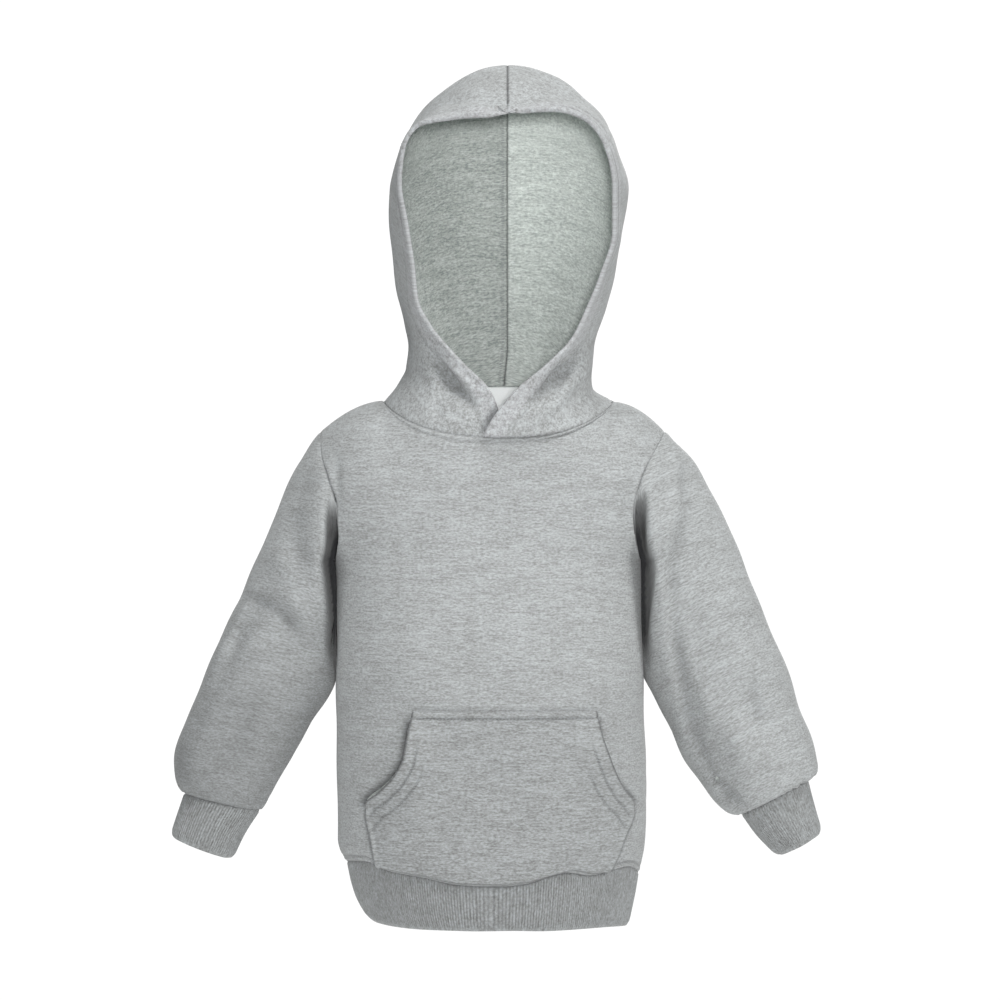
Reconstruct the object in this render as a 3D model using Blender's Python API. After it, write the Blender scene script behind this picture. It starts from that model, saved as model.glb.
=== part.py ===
"""Toddler hoodie: a pullover of marl fleece with a two-piece hood, a kangaroo pocket, and
ribbed cuffs and hem band.

Every piece of cloth is a wall laid on a form that is worked out from the garment's sizes.
Lengths are in millimetres here and become metres when a mesh is made. +X is the wearer's
left, the front faces -Y and +Z is up. The origin is the middle of the neck opening, level
with the high points of the shoulders.
"""
import collections
import functools
import types

import bmesh
import bpy
import numpy as np

MM = 0.001
FLEECE = 2.0
RIB_KNIT = 3.0
TAPE = 1.0
SEAM_GAP = 0.3
CURVED_SEAM_GAP = 0.6
NORMAL_STEP = 0.002

TORSO_X = -7.0
TORSO_ROUNDNESS = 2.4
SHOULDER_DEPTH = 75.0
FRONT_DOME = 42.0
BACK_DOME = 78.0
SHOULDER_ROUNDNESS = 2.2
SHOULDER_SLOPE_CURVE = 1.8
DOME_CURVE = 1.5
UNDERARM_Z = -128.0
SHOULDER_TIP_Z = -25.0
NECK_X = -1.0
NECK_HALF_WIDTH = 92.0
NECK_ROUNDNESS = 2.4
NECKLINE_CURVE = 2.6
FRONT_NECKLINE_CURVE = 0.8
HIGH_SHOULDER_Z = -1.0
FRONT_NECK_DROP = 30.0
BACK_NECK_RISE = 15.0

NECK_STEPS = 8
SHOULDER_STEPS = 4
SIDE_SHARES = (0.0, 0.014, 0.038, 0.08, 0.16, 0.3, 0.48, 0.66, 0.83, 1.0)
ARMHOLE_STEPS = 12
SLEEVE_ROWS = 15
HOOD_ROWS = 16


class Table:
    """Rows of sizes under named columns, joined by smooth curves that never overshoot."""

    def __init__(self, names, rows):
        self.names = names.split()[1:]
        data = np.array(rows, dtype=float)
        self.keys = data[:, 0]
        self.values = data[:, 1:]
        steps = np.diff(self.keys)[:, None]
        rises = np.diff(self.values, axis=0) / steps
        slopes = np.zeros_like(self.values)
        slopes[0] = rises[0]
        slopes[-1] = rises[-1]
        before, after = rises[:-1], rises[1:]
        same_way = before * after > 0
        safe_before = np.where(same_way, before, 1.0)
        safe_after = np.where(same_way, after, 1.0)
        near = 2 * steps[1:] + steps[:-1]
        far = steps[1:] + 2 * steps[:-1]
        mean = (near + far) / (near / safe_before + far / safe_after)
        slopes[1:-1] = np.where(same_way, mean, 0.0)
        self.slopes = slopes

    def __call__(self, key):
        key = np.asarray(key, dtype=float)
        low = np.clip(np.searchsorted(self.keys, key) - 1, 0, len(self.keys) - 2)
        span = (self.keys[low + 1] - self.keys[low])[..., None]
        t = np.clip((key - self.keys[low])[..., None] / span, 0.0, 1.0)
        start, end = self.values[low], self.values[low + 1]
        start_slope, end_slope = self.slopes[low] * span, self.slopes[low + 1] * span
        value = (
            start * (2 * t**3 - 3 * t**2 + 1)
            + start_slope * (t**3 - 2 * t**2 + t)
            + end * (3 * t**2 - 2 * t**3)
            + end_slope * (t**3 - t**2)
        )
        columns = {name: value[..., i] for i, name in enumerate(self.names)}
        return types.SimpleNamespace(**columns)


# Half widths to the wearer's right and left of TORSO_X, and depths to the front and back.
TORSO = Table("height right left front back", (
    (-374, 115.5, 118.0, 79.0, 70.0),
    (-370, 119.3, 119.5, 82.0, 72.0),
    (-364, 121.6, 120.8, 83.8, 73.6),
    (-354, 122.8, 122.4, 84.8, 74.8),
    (-320, 123.0, 123.8, 85.0, 75.5),
    (-260, 122.6, 122.2, 84.5, 76.0),
    (-220, 123.4, 121.4, 84.0, 76.0),
    (-150, 124.0, 119.5, 83.0, 75.0),
    (-128, 125.0, 119.0, 82.0, 74.0),
    (-115, 133.0, 128.0, 81.0, 73.0),
    (-96, 144.0, 141.0, 80.0, 71.0),
    (-60, 151.0, 149.0, 79.0, 68.0),
    (-30, 152.0, 150.0, 78.0, 66.0),
    (40, 152.0, 150.0, 78.0, 66.0),
))

# How far the armhole seam lies from TORSO_X.
ARMHOLE = Table("height right left", (
    (-128, 125.0, 119.0),
    (-121, 121.5, 115.0),
    (-108, 119.5, 112.5),
    (-86, 121.5, 112.5),
    (-62, 128.0, 118.0),
    (-44, 134.0, 127.0),
    (-25, 136.0, 138.0),
))

# Height of the hem seam round the body: 0 is the front, 90 the wearer's left side.
HEM_SEAM = Table("angle height", (
    (-180, -373), (-135, -369), (-90, -368), (-53, -364), (-43, -369), (-22, -374),
    (-9, -379), (2, -380), (10, -378), (19, -372.5), (26, -370), (37, -373), (61, -369),
    (90, -377), (135, -371), (180, -373),
))
HEM_LINE_Z = -374.0
HEM_REACH = 60.0

HEM_BAND = Table("share right left front back", (
    (0.0, 115.0, 117.5, 78.4, 69.4),
    (0.4, 111.5, 114.8, 79.8, 70.4),
    (0.7, 107.5, 112.2, 78.8, 69.6),
    (1.0, 101.0, 109.4, 75.6, 66.8),
))

# Height of the open hem edge, which rides up at the wearer's right side.
HEM_EDGE = Table("angle height", (
    (-180, -413), (-90, -408), (-60, -412), (-30, -413.5), (45, -414), (90, -417),
    (135, -415), (180, -413),
))
HEM_RIBS = 288
HEM_PLAIN_POINTS = 72

# Sleeve sections from the armhole to the cuff seam: the middle, the half width across the
# arm, the half depth, and how far the section leans from level, in degrees.
SECTION_COLUMNS = "share x y z width depth lean"
SLEEVES = {
    "right": Table(SECTION_COLUMNS, (
        (0.00, -133, 6, -104, 56, 47, 30),
        (0.20, -149, 8, -148, 49.5, 47, 27),
        (0.38, -171.5, 9, -196, 50, 45, 24),
        (0.56, -194, 8, -240, 47, 42, 23),
        (0.74, -210, 6, -272, 45.5, 38, 19),
        (0.90, -218.5, 3, -301, 43.8, 33, 14),
        (0.965, -221, 2, -313, 39.5, 29, 12),
        (1.00, -222.3, 1, -321.2, 31.2, 24, 13),
    )),
    "left": Table(SECTION_COLUMNS, (
        (0.00, 122, 5, -100, 58, 48, 30),
        (0.20, 142, 7, -146, 55.5, 48, 25),
        (0.38, 160, 8, -190, 54.6, 46.5, 21),
        (0.54, 176, 8, -225, 53.2, 44.5, 19),
        (0.70, 192, 7, -261, 51, 41, 18),
        (0.82, 203, 5, -286, 49, 37.5, 17),
        (0.92, 212, 3, -305, 44.8, 33, 19),
        (0.97, 217, 1, -313.5, 38.8, 29, 23),
        (1.00, 219.4, 0, -317, 30.2, 23.5, 28),
    )),
}
SLEEVE_ROUNDNESS = 2.15
SLEEVE_LENGTH = 250.0
SLEEVE_GIRTH = 290.0

# The share of a sleeve that turns from the armhole seam to the sections, and the way it
# leaves the seam: outward and down, at the shoulder tip and under the arm.
SLEEVE_BLEND_END = 0.34
SLEEVE_TIP_PULL = {"right": (60.0, 44.0), "left": (84.0, 30.0)}
SLEEVE_UNDERARM_PULL = (12.0, 58.0)
SLEEVE_FORWARD_PULL = 14.0
SLEEVE_LANDING_PULL = 0.8

# A sleeve stays this far off the side of the body, past the first shares of its length.
BODY_CLEARANCE = 1.4
ARMHOLE_FREEDOM = 60.0
CLEARANCE_SHARE = 0.10
SQUASH_SHARE = 0.14
SQUASH_SOFTNESS = 2.5

# Cuff sections from the seam to the open end, in the same columns as a sleeve's.
CUFFS = {
    "right": Table(SECTION_COLUMNS, (
        (0.0, -222.5, 1.0, -321.7, 30.5, 23.2, 13),
        (0.5, -230.0, -3.0, -338.5, 28.8, 22.2, 18),
        (1.0, -237.6, -7.0, -355.3, 26.2, 20.6, 21),
    )),
    "left": Table(SECTION_COLUMNS, (
        (0.0, 219.7, 0.0, -317.4, 29.5, 22.8, 28),
        (0.5, 227.8, -2.0, -335.0, 25.8, 21.6, 27),
        (1.0, 238.6, -4.0, -353.2, 20.4, 20.0, 29),
    )),
}
CUFF_RIBS = 76
CUFF_PLAIN_POINTS = 38
RIB_HEIGHT = 0.7
RIB_BANDS = 2

# A long soft fold: where it starts and ends along a piece and round it, its half width and
# its height, a trough where negative.
Fold = collections.namedtuple("Fold", "from_share from_turn to_share to_turn width height")
FOLD_END_HEIGHT = 0.35

# Round a sleeve 0 is the outer side, 0.25 the front and 0.5 the underside.
SLEEVE_FOLD_FADE = (0.12, 0.08)
SLEEVE_FOLDS = {
    "right": (
        (0.44, 0.20, 0.30, 0.36, 13.0, -5.0),
        (0.46, 0.14, 0.36, 0.30, 10.0, 3.2),
        (0.38, 0.10, 0.80, 0.06, 14.0, 3.5),
        (0.60, 0.42, 0.92, 0.26, 12.0, -4.0),
        (0.16, 0.34, 0.34, 0.42, 11.0, -4.0),
        (0.40, 0.70, 0.62, 0.84, 14.0, -4.5),
        (0.72, 0.62, 0.94, 0.72, 12.0, 3.5),
    ),
    "left": (
        (0.10, 0.30, 0.52, 0.36, 13.0, 4.0),
        (0.46, 0.33, 0.96, 0.36, 12.0, -6.0),
        (0.58, 0.22, 0.80, 0.16, 11.0, -3.5),
        (0.62, 0.27, 0.88, 0.26, 11.0, 3.0),
        (0.40, 0.66, 0.66, 0.80, 14.0, -4.5),
        (0.74, 0.60, 0.95, 0.70, 12.0, 3.5),
    ),
}

# The hood's middle seam, from the neck seam up the back and over to the opening.
HOOD_SEAM = Table("share y z", (
    (0.00, 64.0, 14.0), (0.06, 68.0, 28.0), (0.12, 73.0, 45.0), (0.20, 81.0, 69.0),
    (0.28, 88.0, 96.0), (0.37, 95.0, 126.0), (0.46, 99.0, 158.0), (0.56, 97.0, 194.0),
    (0.66, 86.0, 226.0), (0.75, 66.0, 250.0), (0.83, 38.0, 264.0), (0.90, 6.0, 266.5),
    (0.95, -28.0, 252.0), (1.00, -70.0, 218.5),
))

# Lines round each half of the hood, from the neck seam up to the middle of the opening's
# top: y and z where the line is widest, its half width from HOOD_X, and the point where the
# opening's edge cuts it.
HOOD_COLUMNS = "share y z width edge_x edge_y edge_z"
HOOD = {
    "right": Table(HOOD_COLUMNS, (
        (0.00, 0, -1, 99, 14, -76, -30),
        (0.06, 0, 10, 86, 4, -75, -10),
        (0.12, 0, 24, 80, -9, -73, 9),
        (0.20, 2, 42, 80.5, -31, -69, 30),
        (0.28, 5, 60, 82.5, -54, -64, 56),
        (0.37, 8, 82, 85.5, -65, -60, 77),
        (0.46, 10, 108, 88, -68, -57, 104),
        (0.56, 11, 136, 91, -73, -55, 136),
        (0.66, 10, 168, 92, -78, -56, 168),
        (0.75, 2, 198, 86, -75, -59, 195),
        (0.83, -14, 219, 72, -63, -64, 212),
        (0.90, -34, 229, 50, -42, -68, 216),
        (0.95, -52, 229, 31, -21, -70, 218),
        (1.00, -70, 218.5, 0, 6, -70, 218.5),
    )),
    "left": Table(HOOD_COLUMNS, (
        (0.00, 0, -1, 85, -10, -76, -30),
        (0.06, 0, 10, 69.5, 1, -75, -12),
        (0.12, 0, 24, 67, 12, -73, 5),
        (0.20, 2, 42, 70, 36, -69, 26),
        (0.28, 5, 60, 74, 56, -64, 46),
        (0.37, 8, 82, 78.5, 70, -60, 73),
        (0.46, 10, 108, 84.5, 80, -57, 98),
        (0.56, 11, 136, 91, 89, -55, 130),
        (0.66, 10, 168, 94, 89, -56, 165),
        (0.75, 2, 199, 86, 82, -59, 197),
        (0.83, -14, 221, 72, 65, -64, 217),
        (0.90, -34, 232, 51, 42, -68, 223),
        (0.95, -52, 231, 32, 23, -70, 222),
        (1.00, -70, 218.5, 0, 6, -70, 218.5),
    )),
}
HOOD_X = 6.0
HOOD_ROUNDNESS = 2.3
HOOD_LINE_CURVE = 1.4
HOOD_LENGTH = 330.0
HOOD_GIRTH = 250.0
HOOD_SEAM_BLEND = 0.10
HOOD_RISE_END = 0.15
HOOD_HEM_EXTRA = 1.6

# The left half passes outside the right one at the throat: how far it is lifted, up to
# which x and z it starts to be, and over what distance.
HOOD_LAP_LIFT = 5.2
HOOD_LAP_X = (75.0, 50.0)
HOOD_LAP_Z = (90.0, 80.0)

# Along the hood from the neck seam, and across it from the opening's edge.
HOOD_FOLD_FADE = (0.06, 0.05, 0.08)
HOOD_FOLDS = {
    "right": (
        (0.19, 0.10, 0.05, 0.16, 9.0, -3.5),
        (0.16, 0.34, 0.06, 0.46, 11.0, -4.0),
        (0.15, 0.72, 0.05, 0.66, 11.0, -3.5),
    ),
    "left": (
        (0.26, 0.14, 0.06, 0.17, 9.0, -3.5),
        (0.16, 0.36, 0.06, 0.46, 11.0, -4.0),
        (0.16, 0.74, 0.06, 0.64, 11.0, -3.5),
    ),
}

# Edges of the pocket at each height.
POCKET = Table("height right left", (
    (-384, -94.0, 79.0),
    (-366, -97.0, 88.0),
    (-344, -101.0, 97.0),
    (-325, -104.5, 105.0),
    (-318, -104.0, 104.0),
    (-307, -91.0, 94.0),
    (-295, -79.5, 86.0),
    (-280, -71.5, 79.5),
    (-262, -69.0, 75.5),
    (-246, -67.0, 74.0),
    (-240, -66.5, 73.5),
))
POCKET_TOP_Z = -242.2
POCKET_COLUMNS = 16
POCKET_ROWS = 10
POCKET_ROW_CROWDING = 1.5
POCKET_ABOVE_SEAM = 2.5
POCKET_STAND_OFF = 1.1
POCKET_GAPE = 8.5
POCKET_GAPE_Z = (-246.0, -318.0)
POCKET_GAPE_REACH = 24.0
POCKET_SLACK = 1.2

LABEL_X = 3.0
LABEL_WIDTH = 34.0
LABEL_TOP_Z = 12.5
LABEL_LENGTH = 42.0
LABEL_COLUMNS = 4
LABEL_ROWS = 3

MARL_GREY = (0.45, 0.46, 0.46, 1.0)
RIB_GREY = (0.33, 0.34, 0.34, 1.0)
TAPE_WHITE = (0.86, 0.90, 0.90, 1.0)


def clear_scene():
    for thing in list(bpy.data.objects):
        bpy.data.objects.remove(thing, do_unlink=True)


def make_material(name, colour, roughness):
    material = bpy.data.materials.new(name)
    material.use_nodes = True
    shader = material.node_tree.nodes["Principled BSDF"]
    shader.inputs["Base Color"].default_value = colour
    shader.inputs["Roughness"].default_value = roughness
    shader.inputs["Metallic"].default_value = 0.0
    return material


def signed_power(value, power):
    return np.sign(value) * np.abs(value) ** power


def smooth_step(value):
    value = np.clip(value, 0.0, 1.0)
    return value * value * (3.0 - 2.0 * value)


# ---- meshes ------------------------------------------------------------------------------

def make_solid(name, points, faces, material):
    """One closed mesh from points in millimetres. Corners at the same point are merged."""
    mesh = bpy.data.meshes.new(name)
    shape = bmesh.new()
    corners = {}
    verts = []
    for point in points:
        key = tuple(np.round(point, 4))
        if key not in corners:
            corners[key] = shape.verts.new([float(c) * MM for c in point])
        verts.append(corners[key])
    for face in faces:
        ring = []
        for index in face:
            if verts[index] not in ring:
                ring.append(verts[index])
        if len(ring) > 2:
            shape.faces.new(ring)
    bmesh.ops.recalc_face_normals(shape, faces=shape.faces[:])
    shape.to_mesh(mesh)
    shape.free()
    mesh.shade_smooth()
    mesh.materials.append(material)
    thing = bpy.data.objects.new(name, mesh)
    bpy.context.scene.collection.objects.link(thing)
    return thing


def sample(surface, across, along, outward):
    """Points and unit normals of a surface on a grid of two parameters."""
    u, v = np.meshgrid(across, along)
    low_u = np.maximum(u - NORMAL_STEP, min(across)) if across[0] < across[-1] else u
    high_u = np.minimum(u + NORMAL_STEP, max(across))
    low_v = np.maximum(v - NORMAL_STEP, min(along))
    high_v = np.minimum(v + NORMAL_STEP, max(along))
    du = surface(high_u, v) - surface(low_u, v)
    dv = surface(u, high_v) - surface(u, low_v)
    normal = np.cross(du, dv) * outward
    length = np.linalg.norm(normal, axis=-1, keepdims=True)
    return surface(u, v), normal / np.maximum(length, 1e-9)


def sample_ring(surface, turns, along):
    """Points and outward normals of a tube whose first parameter is a share of a turn."""
    u, v = np.meshgrid(turns, along)
    du = surface(u + NORMAL_STEP, v) - surface(u - NORMAL_STEP, v)
    low_v = np.maximum(v - NORMAL_STEP, 0.0)
    high_v = np.minimum(v + NORMAL_STEP, 1.0)
    dv = surface(u, high_v) - surface(u, low_v)
    normal = np.cross(du, dv)
    points = surface(u, v)
    middle = points.mean(axis=1, keepdims=True)
    facing = np.sign(np.sum(normal * (points - middle), axis=(1, 2), keepdims=True))
    normal = normal * facing
    return points, normal / np.linalg.norm(normal, axis=-1, keepdims=True)


def wall(name, outer, normals, thickness, material, ring=False):
    """A wall of cloth: an outer grid, the same grid moved in, and rims round the edges."""
    rows, columns = outer.shape[:2]
    inner = outer - normals * np.broadcast_to(thickness, (rows, columns))[..., None]
    points = np.concatenate([outer.reshape(-1, 3), inner.reshape(-1, 3)])
    back = rows * columns

    def spot(row, column):
        return row * columns + column % columns

    faces = []
    last = columns if ring else columns - 1
    for row in range(rows - 1):
        for column in range(last):
            quad = [spot(row, column), spot(row, column + 1),
                    spot(row + 1, column + 1), spot(row + 1, column)]
            faces.append(quad)
            faces.append([back + index for index in reversed(quad)])
    border = [[(row, c) for c in range(columns + (1 if ring else 0))] for row in (0, rows - 1)]
    if not ring:
        border += [[(r, column) for r in range(rows)] for column in (0, columns - 1)]
    for line in border:
        for here, there in zip(line, line[1:]):
            a, b = spot(*here), spot(*there)
            faces.append([a, b, back + b, back + a])
    return make_solid(name, points, faces, material)


def ribbed_tube(name, surface, ribs, plain_points, material):
    """A tube of rib knit: a rib for every second outer point, over a plain inner face."""
    crowd = 2 * ribs // plain_points
    along = np.linspace(0.0, 1.0, RIB_BANDS + 1)
    fine = np.arange(2 * ribs) / (2.0 * ribs)
    coarse = fine[::crowd]
    outer, out_normals = sample_ring(surface, fine, along)
    relief = np.where(np.arange(2 * ribs) % 2 == 0, RIB_HEIGHT, 0.0)
    outer = outer + out_normals * relief[None, :, None]
    inner, in_normals = sample_ring(surface, coarse, along)
    inner = inner - in_normals * RIB_KNIT
    points = np.concatenate([outer.reshape(-1, 3), inner.reshape(-1, 3)])
    outer_count, inner_count = len(fine), len(coarse)
    base = outer_count * len(along)
    faces = []
    for row in range(RIB_BANDS):
        for count, start in ((outer_count, 0), (inner_count, base)):
            for column in range(count):
                a = start + row * count + column
                b = start + row * count + (column + 1) % count
                faces.append([a, b, b + count, a + count])
    for row in (0, RIB_BANDS):
        for column in range(inner_count):
            a = base + row * inner_count + column
            b = base + row * inner_count + (column + 1) % inner_count
            rim = [row * outer_count + (column * crowd + k) % outer_count
                   for k in range(crowd + 1)]
            half = crowd // 2
            faces.append([a, rim[half], b])
            faces += [[a, rim[k], rim[k + 1]] for k in range(half)]
            faces += [[b, rim[k], rim[k + 1]] for k in range(half, crowd)]
    return make_solid(name, points, faces, material)


# ---- form of the body --------------------------------------------------------------------

def side_value(x, table_row):
    """The right or the left column of a table row, by the side of TORSO_X."""
    return np.where(x < TORSO_X, table_row.right, table_row.left)


def neck_ratio(x):
    return np.clip(np.abs(x - NECK_X) / NECK_HALF_WIDTH, 0.0, 1.0)


def shoulder_line(x):
    """Height of the shoulder seam, which slopes from the neck to the armhole."""
    tips = ARMHOLE(SHOULDER_TIP_Z)
    tip_x = np.where(x < NECK_X, TORSO_X - tips.right, TORSO_X + tips.left)
    run = np.abs(tip_x - NECK_X) - NECK_HALF_WIDTH
    beyond = np.maximum(np.abs(x - NECK_X) - NECK_HALF_WIDTH, 0.0)
    return HIGH_SHOULDER_Z + (SHOULDER_TIP_Z - HIGH_SHOULDER_Z) * (beyond / run) ** SHOULDER_SLOPE_CURVE


def neckline(face, x):
    """Height of the neck seam on the front (face -1) or the back (face 1)."""
    dip = 1.0 - neck_ratio(x) ** NECKLINE_CURVE
    front = -FRONT_NECK_DROP * dip**FRONT_NECKLINE_CURVE
    return HIGH_SHOULDER_Z + np.where(face < 0, front, BACK_NECK_RISE * dip)


def shoulder_rounding(face, x, z):
    """How the depth falls away to nothing at the shoulder seam."""
    dome = (1.0 - neck_ratio(x) ** 2) ** DOME_CURVE
    ridge = shoulder_line(x) + np.where(face < 0, FRONT_DOME, BACK_DOME) * dome
    below = np.clip((ridge - z) / SHOULDER_DEPTH, 0.0, 1.0)
    return (1.0 - (1.0 - below) ** SHOULDER_ROUNDNESS) ** (1.0 / SHOULDER_ROUNDNESS)


def hem_seam_height(angle_deg):
    """The hem seam runs straight between the panels' columns."""
    knots = hem_knots()
    return np.interp(angle_deg, knots, HEM_SEAM(knots).height)


def torso_size(angle_deg, z):
    """Sizes of the body at z, where the turn-under at the bottom follows the hem seam."""
    near = smooth_step((HEM_LINE_Z + HEM_REACH - z) / HEM_REACH)
    return TORSO(z + (HEM_LINE_Z - hem_seam_height(angle_deg)) * near)


def front_angle(x, size):
    """Turn round the body, in degrees, of a point of the front at x."""
    across = np.clip(np.abs(x - TORSO_X) / side_value(x, size), 0.0, 1.0)
    return np.degrees(np.arcsin(across ** (TORSO_ROUNDNESS / 2.0))) * np.sign(x - TORSO_X)


def torso_y(face, x, z):
    """Depth of the body's outer face, front (face -1) or back (face 1), at x and z."""
    angle = front_angle(x, TORSO(z))
    angle = np.where(face < 0, angle, np.where(x < TORSO_X, -180.0, 180.0) - angle)
    size = torso_size(angle, z)
    depth = np.where(face < 0, size.front, size.back)
    across = np.clip(np.abs(x - TORSO_X) / side_value(x, size), 0.0, 1.0)
    lateral = (1.0 - across**TORSO_ROUNDNESS) ** (1.0 / TORSO_ROUNDNESS)
    return face * depth * lateral * shoulder_rounding(face, x, z)


def armhole_angle(z, side):
    """Turn at which a panel ends beside the armhole, where 90 degrees is the side seam."""
    seam = getattr(ARMHOLE(z), side)
    half_width = getattr(TORSO(z), side)
    ratio = np.clip(seam / half_width, 0.0, 1.0)
    return np.arcsin(ratio ** (TORSO_ROUNDNESS / 2.0))


def edge_angle(z, u):
    right, left = armhole_angle(z, "right"), armhole_angle(z, "left")
    return np.where(z < UNDERARM_Z + 0.001, np.pi / 2.0, np.where(u < 0, right, left))


def torso_surface(face):
    """Surface of a body panel. u runs from the right edge to the left, -1 to 1; v from the
    hem seam, 0, past the underarm, 1, to the shoulder and neck seams, 2."""

    def surface(u, v):
        tip = edge_angle(np.full_like(u, SHOULDER_TIP_Z), u)
        top_half_width = np.where(u < 0, TORSO(SHOULDER_TIP_Z).right, TORSO(SHOULDER_TIP_Z).left)
        top_x = TORSO_X + top_half_width * signed_power(np.sin(u * tip), 2 / TORSO_ROUNDNESS)
        over_neck = np.abs(top_x - NECK_X) < NECK_HALF_WIDTH
        top_z = np.where(over_neck, neckline(face, top_x), shoulder_line(top_x))
        turn = u * 90.0
        if face > 0:
            turn = np.where(u < 0, -180.0 - turn, 180.0 - turn)
        hem_z = hem_seam_height(turn) + SEAM_GAP / 2
        rise = np.clip(v - 1.0, 0.0, 1.0)
        low_z = hem_z + (UNDERARM_Z - hem_z) * np.clip(v, 0.0, 1.0)
        z = np.where(v < 1.0, low_z, UNDERARM_Z + (top_z - UNDERARM_Z) * rise)
        edge_z = UNDERARM_Z + (SHOULDER_TIP_Z - UNDERARM_Z) * rise
        angle = u * np.where(v < 1.0, np.pi / 2.0, edge_angle(edge_z, u))
        size = torso_size(turn, z)
        half_width = np.where(u < 0, size.right, size.left)
        depth = size.front if face < 0 else size.back
        x = TORSO_X + half_width * signed_power(np.sin(angle), 2 / TORSO_ROUNDNESS)
        y = depth * signed_power(np.cos(angle), 2 / TORSO_ROUNDNESS)
        y = face * (y * shoulder_rounding(face, x, z) + SEAM_GAP / 2)
        return np.stack([x, y, z], axis=-1)

    return surface


@functools.cache
def panel_columns():
    """Columns of a body panel: even turns round the neck seam, then on to the side."""
    columns = []
    for side, sign in (("right", -1.0), ("left", 1.0)):
        tip = float(armhole_angle(SHOULDER_TIP_Z, side))
        half_width = float(getattr(TORSO(SHOULDER_TIP_Z), side))
        shares = []
        for step in range(NECK_STEPS + 1):
            reach = NECK_HALF_WIDTH * np.sin(np.pi / 2 * step / NECK_STEPS) ** (2 / NECK_ROUNDNESS)
            from_middle = max(sign * (NECK_X + sign * reach - TORSO_X), 0.0)
            angle = np.arcsin((from_middle / half_width) ** (TORSO_ROUNDNESS / 2))
            shares.append(angle / tip)
        shares += list(np.linspace(shares[-1], 1.0, SHOULDER_STEPS + 1)[1:])
        columns.append([sign * share for share in shares if share > 0.001])
    return np.array(sorted(columns[0] + [0.0] + columns[1]))


@functools.cache
def hem_knots():
    """Turns of the panels' columns round the hem, in degrees."""
    front = panel_columns() * 90.0
    back = np.concatenate([-180.0 - front[front < 0], 180.0 - front[front >= 0]])
    return np.unique(np.concatenate([front, back, [-180.0, 180.0]]))


def panel_rows():
    """Rows of a body panel. Above the underarm their heights are those of the sleeve."""
    side = np.array(SIDE_SHARES)
    turns = np.arange(ARMHOLE_STEPS, -1, -1) / (2.0 * ARMHOLE_STEPS)
    armhole = 1.0 + (1.0 + np.cos(2 * np.pi * turns)) / 2.0
    return np.concatenate([side[:-1], armhole])


# ---- pieces ------------------------------------------------------------------------------

def make_body(fleece):
    for name, face in (("body_front", -1), ("body_back", 1)):
        outer, normals = sample(torso_surface(face), panel_columns(), panel_rows(), -face)
        wall(name, outer, normals, FLEECE, fleece)


def make_hem_band(rib):
    def surface(turn, share):
        angle = turn * 2 * np.pi
        degrees = np.degrees(np.arctan2(np.sin(angle), np.cos(angle)))
        size = HEM_BAND(share)
        half_width = np.where(np.sin(angle) < 0, size.right, size.left)
        depth = np.where(np.cos(angle) > 0, size.front, size.back)
        x = TORSO_X + half_width * signed_power(np.sin(angle), 2 / TORSO_ROUNDNESS)
        y = -depth * signed_power(np.cos(angle), 2 / TORSO_ROUNDNESS)
        top = hem_seam_height(degrees) - SEAM_GAP / 2
        edge = HEM_EDGE(degrees).height
        return np.stack([x, y, top + (edge - top) * share], axis=-1)

    ribbed_tube("hem_band", surface, HEM_RIBS, HEM_PLAIN_POINTS, rib)


def armhole_loop(side, turn):
    """The armhole seam, from the shoulder tip down the front, 0 to 0.5, and up the back."""
    sign = -1.0 if side == "right" else 1.0
    z = UNDERARM_Z + (SHOULDER_TIP_Z - UNDERARM_Z) * (1.0 + np.cos(2 * np.pi * turn)) / 2.0
    x = TORSO_X + sign * getattr(ARMHOLE(z), side)
    front = torso_y(-1, x, z) - SEAM_GAP / 2
    back = torso_y(1, x, z) + SEAM_GAP / 2
    y = np.where(np.sin(2 * np.pi * turn) > 0, front, back)
    blend = np.clip(np.abs(np.sin(2 * np.pi * turn)) * 1e4, 0.0, 1.0)
    return np.stack([x + sign * CURVED_SEAM_GAP, y * blend, z], axis=-1)


def section_point(table, sign, turn, share):
    """A point of an oval section across an arm."""
    size = table(share)
    lean = np.radians(size.lean)
    outward = signed_power(np.cos(2 * np.pi * turn), 2 / SLEEVE_ROUNDNESS) * size.width
    forward = signed_power(np.sin(2 * np.pi * turn), 2 / SLEEVE_ROUNDNESS) * size.depth
    x = size.x + sign * outward * np.cos(lean)
    z = size.z + outward * np.sin(lean)
    return np.stack([x, size.y - forward, z], axis=-1)


def fold_relief(folds, share, turn, length, girth):
    """Height of the long soft folds: round in section, fading out at both ends."""
    relief = np.zeros_like(share)
    for fold in [Fold(*row) for row in folds]:
        run_along = (fold.to_share - fold.from_share) * length
        run_round = (fold.to_turn - fold.from_turn) * girth
        along = (share - fold.from_share) * length
        around = (turn - fold.from_turn) * girth
        t = (along * run_along + around * run_round) / (run_along**2 + run_round**2)
        t = np.clip(t, 0.0, 1.0)
        away = np.hypot(along - t * run_along, around - t * run_round)
        fade = FOLD_END_HEIGHT + (1.0 - FOLD_END_HEIGHT) * np.sin(np.pi * t)
        relief = relief + fold.height * fade * np.exp(-(away / fold.width) ** 2)
    return relief


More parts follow.
